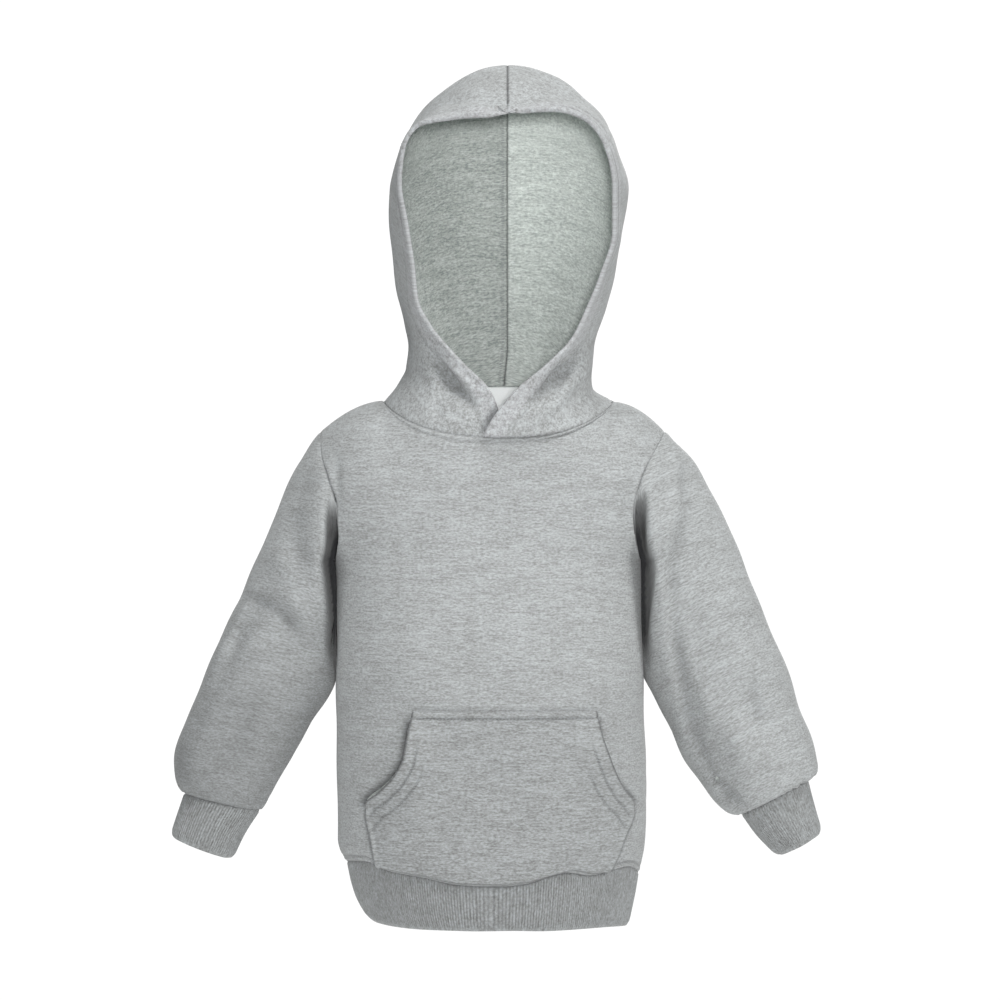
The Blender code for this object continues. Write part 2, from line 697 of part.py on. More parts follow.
def beside_body(side, point, share):
    """How far a sleeve's point lies from TORSO_X, kept off the side of the body."""
    size = TORSO(point[..., 2])
    depth = np.where(point[..., 1] < 0, size.front, size.back)
    ahead = np.clip(np.abs(point[..., 1]) / depth, 0.0, 1.0) ** TORSO_ROUNDNESS
    limit = getattr(size, side) * (1.0 - ahead) ** (1 / TORSO_ROUNDNESS) + BODY_CLEARANCE
    kept = smooth_step(share / CLEARANCE_SHARE)
    limit = limit * kept + ARMHOLE_FREEDOM * (1.0 - kept)
    free = np.abs(point[..., 0] - TORSO_X)
    beyond = free - limit
    squashed = limit + (beyond + np.sqrt(beyond**2 + SQUASH_SOFTNESS**2)) / 2.0
    squash = smooth_step(share / SQUASH_SHARE)
    return squashed * squash + free * (1.0 - squash)


def sleeve_surface(side):
    table = SLEEVES[side]
    sign = -1.0 if side == "right" else 1.0

    def surface(turn, share):
        turn = np.mod(turn, 1.0)
        section = section_point(table, sign, turn, share)
        blend_end = np.full_like(share, SLEEVE_BLEND_END)
        landing = section_point(table, sign, turn, blend_end)
        past = section_point(table, sign, turn, blend_end + 0.01)
        landing_pull = (past - landing) / 0.01 * SLEEVE_BLEND_END * SLEEVE_LANDING_PULL
        top = (1.0 + np.cos(2 * np.pi * turn)) / 2.0
        tip_out, tip_down = SLEEVE_TIP_PULL[side]
        under_out, under_down = SLEEVE_UNDERARM_PULL
        outward = under_out + (tip_out - under_out) * top
        forward = SLEEVE_FORWARD_PULL * np.sin(2 * np.pi * turn)
        down = under_down + (tip_down - under_down) * top
        start_pull = np.stack([sign * outward, -forward, -down], axis=-1)
        t = np.clip(share / SLEEVE_BLEND_END, 0.0, 1.0)[..., None]
        start = armhole_loop(side, turn)
        bridge = (start * (2 * t**3 - 3 * t**2 + 1) + start_pull * (t**3 - 2 * t**2 + t)
                  + landing * (3 * t**2 - 2 * t**3) + landing_pull * (t**3 - t**2))
        point = np.where(share[..., None] < SLEEVE_BLEND_END, bridge, section)
        point[..., 0] = TORSO_X + sign * beside_body(side, point, share)
        return point

    return surface


def make_sleeve(side, fleece):
    base = sleeve_surface(side)
    turns = np.arange(2 * ARMHOLE_STEPS) / (2.0 * ARMHOLE_STEPS)
    along = np.linspace(0.0, 1.0, SLEEVE_ROWS + 1)
    points, normals = sample_ring(base, turns, along)
    u, v = np.meshgrid(turns, along)
    from_armhole, from_cuff = SLEEVE_FOLD_FADE
    hold = smooth_step(v / from_armhole) * smooth_step((1.0 - v) / from_cuff)
    relief = fold_relief(SLEEVE_FOLDS[side], v, u, SLEEVE_LENGTH, SLEEVE_GIRTH) * hold
    outer = points + normals * relief[..., None]
    wall("sleeve_" + side, outer, normals, FLEECE, fleece, ring=True)


def make_cuff(side, rib):
    table = CUFFS[side]
    sign = -1.0 if side == "right" else 1.0

    def surface(turn, share):
        return section_point(table, sign, np.mod(turn, 1.0), share)

    ribbed_tube("cuff_" + side, surface, CUFF_RIBS, CUFF_PLAIN_POINTS, rib)


def neck_point(side, angle):
    """The neck seam: 0 is the front middle, 90 degrees the shoulder, 180 the back."""
    sign = -1.0 if side == "right" else 1.0
    reach = NECK_HALF_WIDTH * signed_power(np.sin(angle), 2 / NECK_ROUNDNESS)
    x = NECK_X + sign * (reach + SEAM_GAP / 2)
    front = np.stack([x, torso_y(-1, x, neckline(-1, x)), neckline(-1, x)], axis=-1)
    back = np.stack([x, torso_y(1, x, neckline(1, x)), neckline(1, x)], axis=-1)
    return np.where((np.cos(angle) > 0)[..., None], front, back)


def hood_surface(side):
    """Half of the hood. u runs from the opening's edge to the middle seam, v from the neck
    seam up to the middle of the opening's top."""
    sign = -1.0 if side == "right" else 1.0
    table = HOOD[side]

    def start_angle(size):
        """The turn at which the opening's edge cuts a line."""
        across = sign * (size.edge_x - HOOD_X) / np.maximum(size.width, 1e-6)
        return np.arcsin(signed_power(np.clip(across, -1.0, 0.999), HOOD_ROUNDNESS / 2))

    def loop(angle, v):
        size, seam = table(v), HOOD_SEAM(v)
        power = 2 / HOOD_ROUNDNESS
        lateral = size.width * signed_power(np.sin(angle), power)
        ahead = signed_power(np.cos(angle), power)
        edge_ahead = np.maximum(np.abs(np.cos(start_angle(size))) ** power, 0.02)
        to_edge = ahead / edge_ahead
        y = np.where(ahead > 0, size.y + (size.edge_y - size.y) * to_edge,
                     size.y - (seam.y - size.y) * ahead)
        z = np.where(ahead > 0, size.z + (size.edge_z - size.z) * np.abs(to_edge) ** HOOD_LINE_CURVE,
                     size.z + (seam.z - size.z) * np.abs(ahead) ** HOOD_LINE_CURVE)
        return np.stack([HOOD_X + sign * (lateral + SEAM_GAP / 2), y, z], axis=-1)

    def surface(u, v):
        start = start_angle(table(v))
        angle = start + (np.pi - start) * u
        point = loop(angle, v)
        seam = neck_point(side, angle)
        seam[..., 2] += CURVED_SEAM_GAP
        pull = (1.0 - smooth_step(v / HOOD_SEAM_BLEND))[..., None]
        point = point + (seam - loop(angle, np.zeros_like(v))) * pull
        if side == "left":
            near = smooth_step((HOOD_LAP_X[0] - point[..., 0]) / HOOD_LAP_X[1])
            near = near * smooth_step((HOOD_LAP_Z[0] - point[..., 2]) / HOOD_LAP_Z[1])
            point[..., 1] -= HOOD_LAP_LIFT * near * (point[..., 1] < 0)
        return point

    return surface


def hood_lap(side):
    """The turn at which a half of the hood begins at the neck seam, past the middle."""
    sign = -1.0 if side == "right" else 1.0
    across = sign * (HOOD[side](0.0).edge_x - HOOD_X) / HOOD[side](0.0).width
    return float(np.arcsin(signed_power(across, HOOD_ROUNDNESS / 2)))


def make_hood(side, fleece):
    steps = np.arange(1, 2 * NECK_STEPS + 1) * 90.0 / NECK_STEPS
    lap = np.degrees(hood_lap(side))
    columns = np.concatenate([[0.0], (steps - lap) / (180.0 - lap)])
    rows = np.linspace(0.0, 1.0, HOOD_ROWS + 1)
    surface = hood_surface(side)
    outer, normals = sample(surface, columns, rows, -1.0 if side == "right" else 1.0)
    normals[:, -1, 0] = 0.0
    normals[-1] = normals[-2, -1]
    normals[:, -1] /= np.linalg.norm(normals[:, -1], axis=-1, keepdims=True)
    u, v = np.meshgrid(columns, rows)
    from_neck, from_edge, from_middle = HOOD_FOLD_FADE
    hold = smooth_step(v / from_neck) * smooth_step(u / from_edge)
    hold = hold * smooth_step((1 - u) / from_middle)
    relief = fold_relief(HOOD_FOLDS[side], v, u, HOOD_LENGTH, HOOD_GIRTH) * hold
    relief = relief + FLEECE * smooth_step(v / HOOD_RISE_END)
    outer = outer + normals * relief[..., None]
    thickness = np.full(u.shape, FLEECE)
    thickness[:-1, :2] += HOOD_HEM_EXTRA
    wall("hood_" + side, outer, normals, thickness, fleece)


def on_front(x, z, lift):
    """Points of the front panel's outer face, moved out by lift, and their normals."""
    step = 0.5
    face = np.full_like(x, -1.0)
    here = np.stack([x, torso_y(face, x, z), z], axis=-1)
    aside = np.stack([x + step, torso_y(face, x + step, z), z], axis=-1)
    above = np.stack([x, torso_y(face, x, z + step), z + step], axis=-1)
    normal = np.cross(aside - here, above - here)
    normal = normal / np.linalg.norm(normal, axis=-1, keepdims=True)
    return here + normal * lift[..., None], normal


def make_pocket(fleece):
    down = 1.0 - (1.0 - np.linspace(0.0, 1.0, POCKET_ROWS + 1)) ** POCKET_ROW_CROWDING
    u, v = np.meshgrid(np.linspace(-1.0, 1.0, POCKET_COLUMNS + 1), down)
    foot = POCKET(HEM_LINE_Z)
    foot_x = foot.right * (1 - u) / 2 + foot.left * (1 + u) / 2
    foot_z = hem_seam_height(front_angle(foot_x, TORSO(HEM_LINE_Z))) + POCKET_ABOVE_SEAM
    z = POCKET_TOP_Z + (foot_z - POCKET_TOP_Z) * v
    edges = POCKET(z)
    x = edges.right * (1 - u) / 2 + edges.left * (1 + u) / 2
    from_edge = (1.0 - np.abs(u)) * (edges.left - edges.right) / 2
    top, bottom = POCKET_GAPE_Z
    along = np.clip((top - z) / (top - bottom), 0.0, 1.0)
    gape = POCKET_GAPE * np.sin(np.pi * along) * np.exp(-(from_edge / POCKET_GAPE_REACH) ** 2)
    slack = POCKET_SLACK * np.sin(np.pi * v) * (1 - u**2)
    lift = FLEECE + POCKET_STAND_OFF + gape + slack
    outer, normals = on_front(x, z, lift)
    wall("pocket", outer, normals, FLEECE, fleece)


def make_label(tape):
    across = np.linspace(-0.5, 0.5, LABEL_COLUMNS + 1)
    u, v = np.meshgrid(across, np.linspace(0.0, 1.0, LABEL_ROWS + 1))
    x = LABEL_X + LABEL_WIDTH * u
    z = LABEL_TOP_Z - LABEL_LENGTH * v
    y = torso_y(1, x, z) - FLEECE - 2 * SEAM_GAP
    outer = np.stack([x, y, z], axis=-1)
    normals = np.zeros_like(outer)
    normals[..., 1] = 1.0
    wall("neck_label", outer, normals, TAPE, tape)


def main():
    clear_scene()
    fleece = make_material("marl_fleece", MARL_GREY, 0.95)
    rib = make_material("rib_knit", RIB_GREY, 0.95)
    tape = make_material("label_tape", TAPE_WHITE, 0.6)
    make_body(fleece)
    make_hem_band(rib)
    for side in ("right", "left"):
        make_sleeve(side, fleece)
        make_cuff(side, rib)
        make_hood(side, fleece)
    make_pocket(fleece)
    make_label(tape)


main()
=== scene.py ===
import math
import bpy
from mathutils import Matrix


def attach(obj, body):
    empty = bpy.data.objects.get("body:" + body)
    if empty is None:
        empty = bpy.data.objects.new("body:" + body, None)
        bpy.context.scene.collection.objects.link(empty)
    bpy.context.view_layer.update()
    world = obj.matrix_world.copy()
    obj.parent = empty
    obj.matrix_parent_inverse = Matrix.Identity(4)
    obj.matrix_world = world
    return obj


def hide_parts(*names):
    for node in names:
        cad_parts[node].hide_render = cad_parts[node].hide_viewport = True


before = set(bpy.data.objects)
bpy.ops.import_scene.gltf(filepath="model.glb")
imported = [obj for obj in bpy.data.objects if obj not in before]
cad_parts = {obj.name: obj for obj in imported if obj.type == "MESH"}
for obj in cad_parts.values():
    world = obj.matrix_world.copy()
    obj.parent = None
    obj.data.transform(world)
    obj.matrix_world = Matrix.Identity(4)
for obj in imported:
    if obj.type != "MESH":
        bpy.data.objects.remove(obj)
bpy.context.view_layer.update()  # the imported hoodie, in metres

import types

import bpy
import numpy as np
from mathutils import kdtree

# Sizes are in millimetres up to the point where a mesh is made. +X is the wearer's left, the
# front faces -Y, and the origin is the middle of the neck opening.
mm = 0.001
rootBody = "root"
print("frame loaded:", len(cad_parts), "cloth pieces")


class SmoothTable:
    # rows of sizes under named columns, joined by smooth curves that never overshoot

    def __init__(self, names, rows):
        self.names = names.split()[1:]
        data = np.array(rows, dtype=float)
        self.keys, self.values = data[:, 0], data[:, 1:]
        steps = np.diff(self.keys)[:, None]
        rises = np.diff(self.values, axis=0) / steps
        before, after = rises[:-1], rises[1:]
        sameWay = before * after > 0
        near = 2 * steps[1:] + steps[:-1]
        far = steps[1:] + 2 * steps[:-1]
        weights = near / np.where(sameWay, before, 1.0) + far / np.where(sameWay, after, 1.0)
        self.slopes = np.zeros_like(self.values)
        self.slopes[0], self.slopes[-1] = rises[0], rises[-1]
        self.slopes[1:-1] = np.where(sameWay, (near + far) / weights, 0.0)

    def __call__(self, key):
        key = np.asarray(key, dtype=float)
        low = np.clip(np.searchsorted(self.keys, key) - 1, 0, len(self.keys) - 2)
        span = (self.keys[low + 1] - self.keys[low])[..., None]
        t = np.clip((key - self.keys[low])[..., None] / span, 0.0, 1.0)
        value = (self.values[low] * (2 * t**3 - 3 * t**2 + 1)
                 + self.slopes[low] * span * (t**3 - 2 * t**2 + t)
                 + self.values[low + 1] * (3 * t**2 - 2 * t**3)
                 + self.slopes[low + 1] * span * (t**3 - t**2))
        return types.SimpleNamespace(**{n: value[..., i] for i, n in enumerate(self.names)})


def signedPower(value, power):
    return np.sign(value) * np.abs(value) ** power


def smoothStep(value):
    value = np.clip(value, 0.0, 1.0)
    return value * value * (3.0 - 2.0 * value)


def bell(distance, width):
    return np.exp(-(distance / width) ** 2)


def gradedSteps(length, spots, coarse, fine, reach, bands=()):
    # places from 0 to length, close together near the spots, with their own step in each band
    # and wide apart elsewhere
    samples, bandFade = 4000, 4.0
    s = np.linspace(0.0, length, samples)
    density = np.full_like(s, 1.0 / coarse)
    for spot in spots:
        density = np.maximum(density, bell(s - spot, reach) / fine)
    for low, high, step in bands:
        inside = smoothStep((s - low) / bandFade + 0.5) * smoothStep((high - s) / bandFade + 0.5)
        density = np.maximum(density, inside / step)
    total = np.concatenate([[0.0], np.cumsum((density[1:] + density[:-1]) / 2 * np.diff(s))])
    count = int(math.ceil(total[-1]))
    return np.interp(np.linspace(0.0, total[-1], count + 1), total, s)


def softWaves(u, v, seed, wavelength, height):
    # a gently uneven surface: many long waves that run in all directions
    draw = np.random.default_rng(seed)
    waves = 22
    relief = np.zeros(np.broadcast(u, v).shape)
    for _ in range(waves):
        heading = draw.uniform(0, math.pi)
        length = wavelength * draw.uniform(0.6, 1.8)
        phase = draw.uniform(0, 2 * math.pi)
        along = (u * math.cos(heading) + v * math.sin(heading)) * 2 * math.pi / length
        relief = relief + np.sin(along + phase)
    return relief * height / math.sqrt(waves / 2)


foldView = dict(distance=2400.0, height=-80.0)  # the folds are laid out as they look from there


def seenFrom(points, way):
    # places of points in a view from the front (way -1) or the back (way 1), across and up
    distance, height = foldView["distance"], foldView["height"]
    reach = distance / (distance - way * points[..., 1])
    return points[..., 0] * reach, (points[..., 2] - height) * reach + height


def foldStrength(t):
    # a fold is deepest half way along it and fades to a third at both ends
    return 0.35 + 0.65 * np.sin(math.pi * t)


def layFolds(folds, points, normals, way):
    # troughs and ridges laid on the side that faces one way: each row is a line from
    # (x, z) to (x, z) in that view, the half width at both ends, and the height
    x, z = seenFrom(points, way)
    relief = np.zeros_like(x)
    for fromX, fromZ, toX, toZ, fromWidth, toWidth, height in folds:
        runX, runZ = toX - fromX, toZ - fromZ
        t = np.clip(((x - fromX) * runX + (z - fromZ) * runZ) / (runX**2 + runZ**2), 0.0, 1.0)
        away = np.hypot(x - fromX - t * runX, z - fromZ - t * runZ)
        width = fromWidth + (toWidth - fromWidth) * t
        relief = relief + height * foldStrength(t) * bell(away, width)
    facing = smoothStep(normals[..., 1] * way * 2.4)
    return relief * facing


def layForms(rows, along, across, length, girth):
    # large folds in a panel's own directions: each row is a line from (along, across) to
    # (along, across) in shares of the panel's length and girth, the half width and the height
    relief = np.zeros_like(along)
    for fromAlong, fromAcross, toAlong, toAcross, width, height in rows:
        runAlong, runAcross = (toAlong - fromAlong) * length, (toAcross - fromAcross) * girth
        wayAlong, wayAcross = (along - fromAlong) * length, (across - fromAcross) * girth
        t = (wayAlong * runAlong + wayAcross * runAcross) / (runAlong**2 + runAcross**2)
        t = np.clip(t, 0.0, 1.0)
        away = np.hypot(wayAlong - t * runAlong, wayAcross - t * runAcross)
        relief = relief + height * foldStrength(t) * bell(away, width)
    return relief


def gridNormals(points, ring):
    # unit normals of a grid from its neighbouring points
    if ring:
        across = np.roll(points, -1, axis=1) - np.roll(points, 1, axis=1)
    else:
        across = np.gradient(points, axis=1)
    along = np.gradient(points, axis=0)
    normal = np.cross(across, along)
    length = np.linalg.norm(normal, axis=-1, keepdims=True)
    return normal / np.maximum(length, 1e-9)


def runLengths(points, axis):
    # distance run along each line of a grid, in millimetres
    step = np.linalg.norm(np.diff(points, axis=axis), axis=-1)
    start = np.zeros_like(np.take(step, [0], axis=axis))
    return np.concatenate([start, np.cumsum(step, axis=axis)], axis=axis)


def makeShell(name, outer, inner, uv, materials, period=None, roundRims=(), inside=None,
              outside=None, marks=None):
    # one closed thin shell: the outer grid, the inner grid and rims round the edges. With a
    # period, in millimetres of its first texture direction, the grid closes into a tube. Rims
    # named in roundRims bulge like a folded edge. inside and outside give the faces of the two
    # grids their materials.
    rows, columns = outer.shape[:2]
    ring = period is not None
    back = rows * columns
    verts, uvs = [outer.reshape(-1, 3), inner.reshape(-1, 3)], [uv.reshape(-1, 2)] * 2
    r, c = np.meshgrid(np.arange(rows - 1), np.arange(columns if ring else columns - 1),
                       indexing="ij")
    nextC = (c + 1) % columns
    quads = np.stack([r * columns + c, r * columns + nextC,
                      (r + 1) * columns + nextC, (r + 1) * columns + c], axis=-1).reshape(-1, 4)
    wraps = np.stack([nextC < 0, nextC < c, nextC < c, nextC < 0], axis=-1).reshape(-1, 4)
    faces, shifts = [quads, quads[:, ::-1] + back], [wraps, wraps[:, ::-1]]
    slots = [np.full(len(quads), 0) if outside is None else outside.reshape(-1),
             np.full(len(quads), 1) if inside is None else inside.reshape(-1)]
    count, rimPoints = 2 * back, []
    rims = [("first", 0, None), ("last", rows - 1, None)]
    if not ring:
        rims += [("left", None, 0), ("right", None, columns - 1)]
    for side, row, column in rims:
        if row is not None:
            line = row * columns + np.arange(columns)
            away = outer[row] - outer[row + (1 if row == 0 else -1)]
        else:
            line = np.arange(rows) * columns + column
            away = outer[:, column] - outer[:, column + (1 if column == 0 else -1)]
        a, b = verts[0][line], verts[1][line]
        away = away / np.maximum(np.linalg.norm(away, axis=-1, keepdims=True), 1e-9)
        chain = [line]
        rimPoints += [line] * (3 if side in roundRims else 0)
        for turn in (0.25, 0.5, 0.75) if side in roundRims else ():
            half = np.linalg.norm(a - b, axis=-1, keepdims=True) / 2
            point = (a + b) / 2 + (a - b) / 2 * math.cos(math.pi * turn)
            verts.append(point + away * half * math.sin(math.pi * turn))
            uvs.append(uvs[0][line])
            chain.append(count + np.arange(len(line)))
            count += len(line)
        chain.append(line + back)
        for low, high in zip(chain, chain[1:]):
            closed = ring and row is not None
            lowNext, highNext = np.roll(low, -1), np.roll(high, -1)
            strip = np.stack([low, high, highNext, lowNext], axis=-1)
            wrap = np.zeros(strip.shape, bool)
            wrap[-1, 2:] = True
            if not closed:
                strip, wrap = strip[:-1], wrap[:-1]
            if side in ("last", "left"):
                strip, wrap = strip[:, ::-1], wrap[:, ::-1]
            faces.append(strip)
            shifts.append(wrap)
            edgeSlot = slots[0][0] if side == "left" and outside is not None else 0
            slots.append(np.full(len(strip), edgeSlot))
    verts, uvs = np.concatenate(verts), np.concatenate(uvs)
    faces, shifts, slots = (np.concatenate(part) for part in (faces, shifts, slots))
    a, b, c, d = (verts[faces[:, i]] for i in range(4))
    if np.sum(np.cross(a, b) * c) + np.sum(np.cross(a, c) * d) < 0:
        faces, shifts = faces[:, ::-1], shifts[:, ::-1]
    loops = uvs[faces.reshape(-1)]
    loops[:, 0] += shifts.reshape(-1) * (period or 0.0)
    mesh = bpy.data.meshes.new(name)
    mesh.from_pydata((verts * mm).tolist(), [], faces.tolist())
    mesh.polygons.foreach_set("material_index", slots.astype(np.int32))
    layer = mesh.uv_layers.new(name="UVMap")
    layer.data.foreach_set("uv", (loops * mm).astype(np.float32).ravel())
    for key, value in (marks or {}).items():
        stored = mesh.attributes.new(key, "FLOAT", "POINT")
        full = np.zeros(len(verts), np.float32)
        sides = value if isinstance(value, tuple) else (value,)
        for number, part in enumerate(sides):
            full[number * back:(number + 1) * back] = part.reshape(-1)
        if rimPoints:
            full[2 * back:] = full[np.concatenate(rimPoints)]
        stored.data.foreach_set("value", full)
    mesh.shade_smooth()
    for material in materials:
        mesh.materials.append(material)
    piece = bpy.data.objects.new(name, mesh)
    bpy.context.scene.collection.objects.link(piece)
    return piece


def wayTo(points, line, samples=1200):
    # shortest way from each point of a grid to a line of points
    steps = np.linspace(0.0, len(line) - 1.0, samples)
    dense = np.stack([np.interp(steps, np.arange(len(line)), line[:, i]) for i in range(3)], -1)
    tree = kdtree.KDTree(len(dense))
    for index, spot in enumerate(dense):
        tree.insert(spot, index)
    tree.balance()
    away = [tree.find(spot)[2] for spot in points.reshape(-1, 3)]
    return np.array(away).reshape(points.shape[:-1])


def pathWhere(points, normals, field, value):
    # the line on a grid along which a distance has one value: a point for each column that the
    # distance passes it in, and the normal there
    past = field >= value
    crossing = past[1:] != past[:-1]
    columns = np.nonzero(crossing.any(axis=0))[0]
    row = np.argmax(crossing[:, columns], axis=0)
    low, high = field[row, columns], field[row + 1, columns]
    t = ((value - low) / (high - low))[:, None]
    spots = points[row, columns] * (1 - t) + points[row + 1, columns] * t
    ways = normals[row, columns] * (1 - t) + normals[row + 1, columns] * t
    return spots, ways / np.linalg.norm(ways, axis=-1, keepdims=True)


def dress(piece, node, sewing=()):
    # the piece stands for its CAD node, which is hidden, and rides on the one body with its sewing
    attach(piece, rootBody)
    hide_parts(node)
    for seam in sewing:
        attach(seam, rootBody)


# form of the body: half widths to the right and left of its middle and depths front and back,
# by height; heights of the hem's seam and edge by turn in degrees, where 0 is the front
body = dict(x=-7.0, roundness=2.4, shoulderDepth=75.0, frontDome=42.0, backDome=78.0,
            shoulderRoundness=2.2, slopeCurve=1.8, domeCurve=1.5, underarmZ=-128.0,
            shoulderTipZ=-25.0, hemZ=-374.0, hemReach=60.0)
neck = dict(x=-1.0, halfWidth=92.0, roundness=2.4, curve=2.6, frontCurve=0.8, topZ=-1.0,
            frontDrop=30.0, backRise=15.0, backShift=4.5)
torso = SmoothTable("height right left front back", (
    (-374, 115.3, 117.6, 78.8, 69.8), (-370, 117.6, 118.9, 80.9, 71.5),
    (-364, 120.6, 120.3, 83.2, 73.2), (-354, 122.6, 122.2, 84.7, 74.7),
    (-320, 123.0, 123.8, 85.0, 75.5), (-260, 122.6, 122.2, 84.5, 76.0),
    (-220, 123.4, 121.4, 84.0, 76.0), (-150, 124.0, 119.5, 83.0, 75.0),
    (-128, 125.0, 119.0, 82.0, 74.0), (-115, 133.0, 128.0, 81.0, 73.0),
    (-96, 144.0, 141.0, 80.0, 71.0), (-60, 151.0, 149.0, 79.0, 68.0),
    (-30, 152.0, 150.0, 78.0, 66.0), (40, 152.0, 150.0, 78.0, 66.0)))
armhole = SmoothTable("height right left", (
    (-128, 125.0, 119.0), (-121, 122.6, 116.6), (-108, 120.4, 114.0), (-86, 121.5, 112.8),
    (-62, 128.0, 118.0), (-44, 134.0, 127.0), (-25, 136.0, 138.0)))
hemSeam = SmoothTable("angle height", (
    (-180, -373), (-135, -369), (-90, -368), (-53, -364), (-43, -369), (-22, -374),
    (-9, -379), (2, -380), (10, -378), (19, -372.5), (26, -370), (37, -373), (61, -369),
    (90, -377), (135, -371), (180, -373)))
hemBand = SmoothTable("share right left front back", (
    (0.0, 115.0, 117.5, 78.4, 69.4), (0.4, 111.5, 114.8, 79.8, 70.4),
    (0.7, 107.5, 112.2, 78.8, 69.6), (1.0, 101.0, 109.4, 75.6, 66.8)))
hemEdge = SmoothTable("angle height", (
    (-180, -413), (-90, -408), (-60, -412), (-30, -413.5), (45, -414), (90, -417),
    (135, -415), (180, -413)))


def shoulderLine(x):
    # height of the shoulder seam, which slopes from the neck to the armhole
    tips = armhole(body["shoulderTipZ"])
    tipX = np.where(x < neck["x"], body["x"] - tips.right, body["x"] + tips.left)
    run = np.abs(tipX - neck["x"]) - neck["halfWidth"]
    beyond = np.maximum(np.abs(x - neck["x"]) - neck["halfWidth"], 0.0)
    fall = body["shoulderTipZ"] - neck["topZ"]
    return neck["topZ"] + fall * (beyond / run) ** body["slopeCurve"]


def neckRatio(x):
    return np.clip(np.abs(x - neck["x"]) / neck["halfWidth"], 0.0, 1.0)


def neckline(face, x):
    # height of the neck seam on the front (face -1) or the back (face 1)
    dip = 1.0 - neckRatio(x) ** neck["curve"]
    return neck["topZ"] + np.where(face < 0, -neck["frontDrop"] * dip ** neck["frontCurve"],
                                   neck["backRise"] * dip)


def shoulderRounding(face, x, z):
    # how the depth falls away to nothing at the shoulder seam
    dome = (1.0 - neckRatio(x) ** 2) ** body["domeCurve"]
    ridge = shoulderLine(x) + np.where(face < 0, body["frontDome"], body["backDome"]) * dome
    below = np.clip((ridge - z) / body["shoulderDepth"], 0.0, 1.0)
    power = body["shoulderRoundness"]
    return (1.0 - (1.0 - below) ** power) ** (1.0 / power)


def torsoSize(angle, z):
    # sizes of the body at z, where the turn-under at the bottom follows the hem seam
    near = smoothStep((body["hemZ"] + body["hemReach"] - z) / body["hemReach"])
    return torso(z + (body["hemZ"] - hemSeam(angle).height) * near)


def frontAngle(x, size):
    # turn round the body, in degrees, of a point of the front at x
    halfWidth = np.where(x < body["x"], size.right, size.left)
    across = np.clip(np.abs(x - body["x"]) / halfWidth, 0.0, 1.0)
    return np.degrees(np.arcsin(across ** (body["roundness"] / 2))) * np.sign(x - body["x"])


def torsoY(face, x, z):
    # depth of the body's outer face, front (face -1) or back (face 1), at x and z
    angle = frontAngle(x, torso(z))
    angle = np.where(face < 0, angle, np.where(x < body["x"], -180.0, 180.0) - angle)
    size = torsoSize(angle, z)
    depth = np.where(face < 0, size.front, size.back)
    halfWidth = np.where(x < body["x"], size.right, size.left)
    across = np.clip(np.abs(x - body["x"]) / halfWidth, 0.0, 1.0)
    lateral = (1.0 - across ** body["roundness"]) ** (1.0 / body["roundness"])
    return face * depth * lateral * shoulderRounding(face, x, z)


def armholeAngle(z, side):
    # turn at which a panel ends beside the armhole, where 90 degrees is the side seam
    ratio = np.clip(getattr(armhole(z), side) / getattr(torso(z), side), 0.0, 1.0)
    return np.arcsin(ratio ** (body["roundness"] / 2))


def edgeAngle(z, u):
    return np.where(z < body["underarmZ"] + 0.001, math.pi / 2,
                    np.where(u < 0, armholeAngle(z, "right"), armholeAngle(z, "left")))


def torsoSurface(face, u, v):
    # a body panel: u runs from its right edge to its left one, -1 to 1; v from the hem seam, 0,
    # past the underarm, 1, to the shoulder and neck seams, 2
    tipZ, lowZ, power = body["shoulderTipZ"], body["underarmZ"], 2 / body["roundness"]
    tip = edgeAngle(np.full_like(u, tipZ), u)
    topHalf = np.where(u < 0, torso(tipZ).right, torso(tipZ).left)
    topX = body["x"] + topHalf * signedPower(np.sin(u * tip), power)
    overNeck = np.abs(topX - neck["x"]) < neck["halfWidth"]
    topZ = np.where(overNeck, neckline(face, topX), shoulderLine(topX))
    turn = u * 90.0
    if face > 0:
        turn = np.where(u < 0, -180.0 - turn, 180.0 - turn)
    rise = np.clip(v - 1.0, 0.0, 1.0)
    bottom = hemSeam(turn).height
    z = np.where(v < 1.0, bottom + (lowZ - bottom) * np.clip(v, 0.0, 1.0),
                 lowZ + (topZ - lowZ) * rise)
    edgeZ = lowZ + (tipZ - lowZ) * rise
    angle = u * np.where(v < 1.0, math.pi / 2, edgeAngle(edgeZ, u))
    size = torsoSize(turn, z)
    x = body["x"] + np.where(u < 0, size.right, size.left) * signedPower(np.sin(angle), power)
    y = (size.front if face < 0 else size.back) * signedPower(np.cos(angle), power)
    return np.stack([x, face * y * shoulderRounding(face, x, z), z], axis=-1)


# edges of the pocket by height, to the right and left; its sewn sides begin at the corners
pocketTopZ, pocketCornerZ, pocketFootZ = -242.2, -318.0, -378.0
pocketEdges = SmoothTable("height right left", (
    (-384, -94.0, 79.0), (-366, -97.0, 88.0), (-344, -101.0, 97.0), (-325, -104.5, 105.0),
    (-318, -104.0, 104.0), (-307, -91.0, 94.0), (-295, -79.5, 86.0), (-280, -71.5, 79.5),
    (-262, -69.0, 75.5), (-246, -67.0, 74.0), (-240, -66.5, 73.5)))


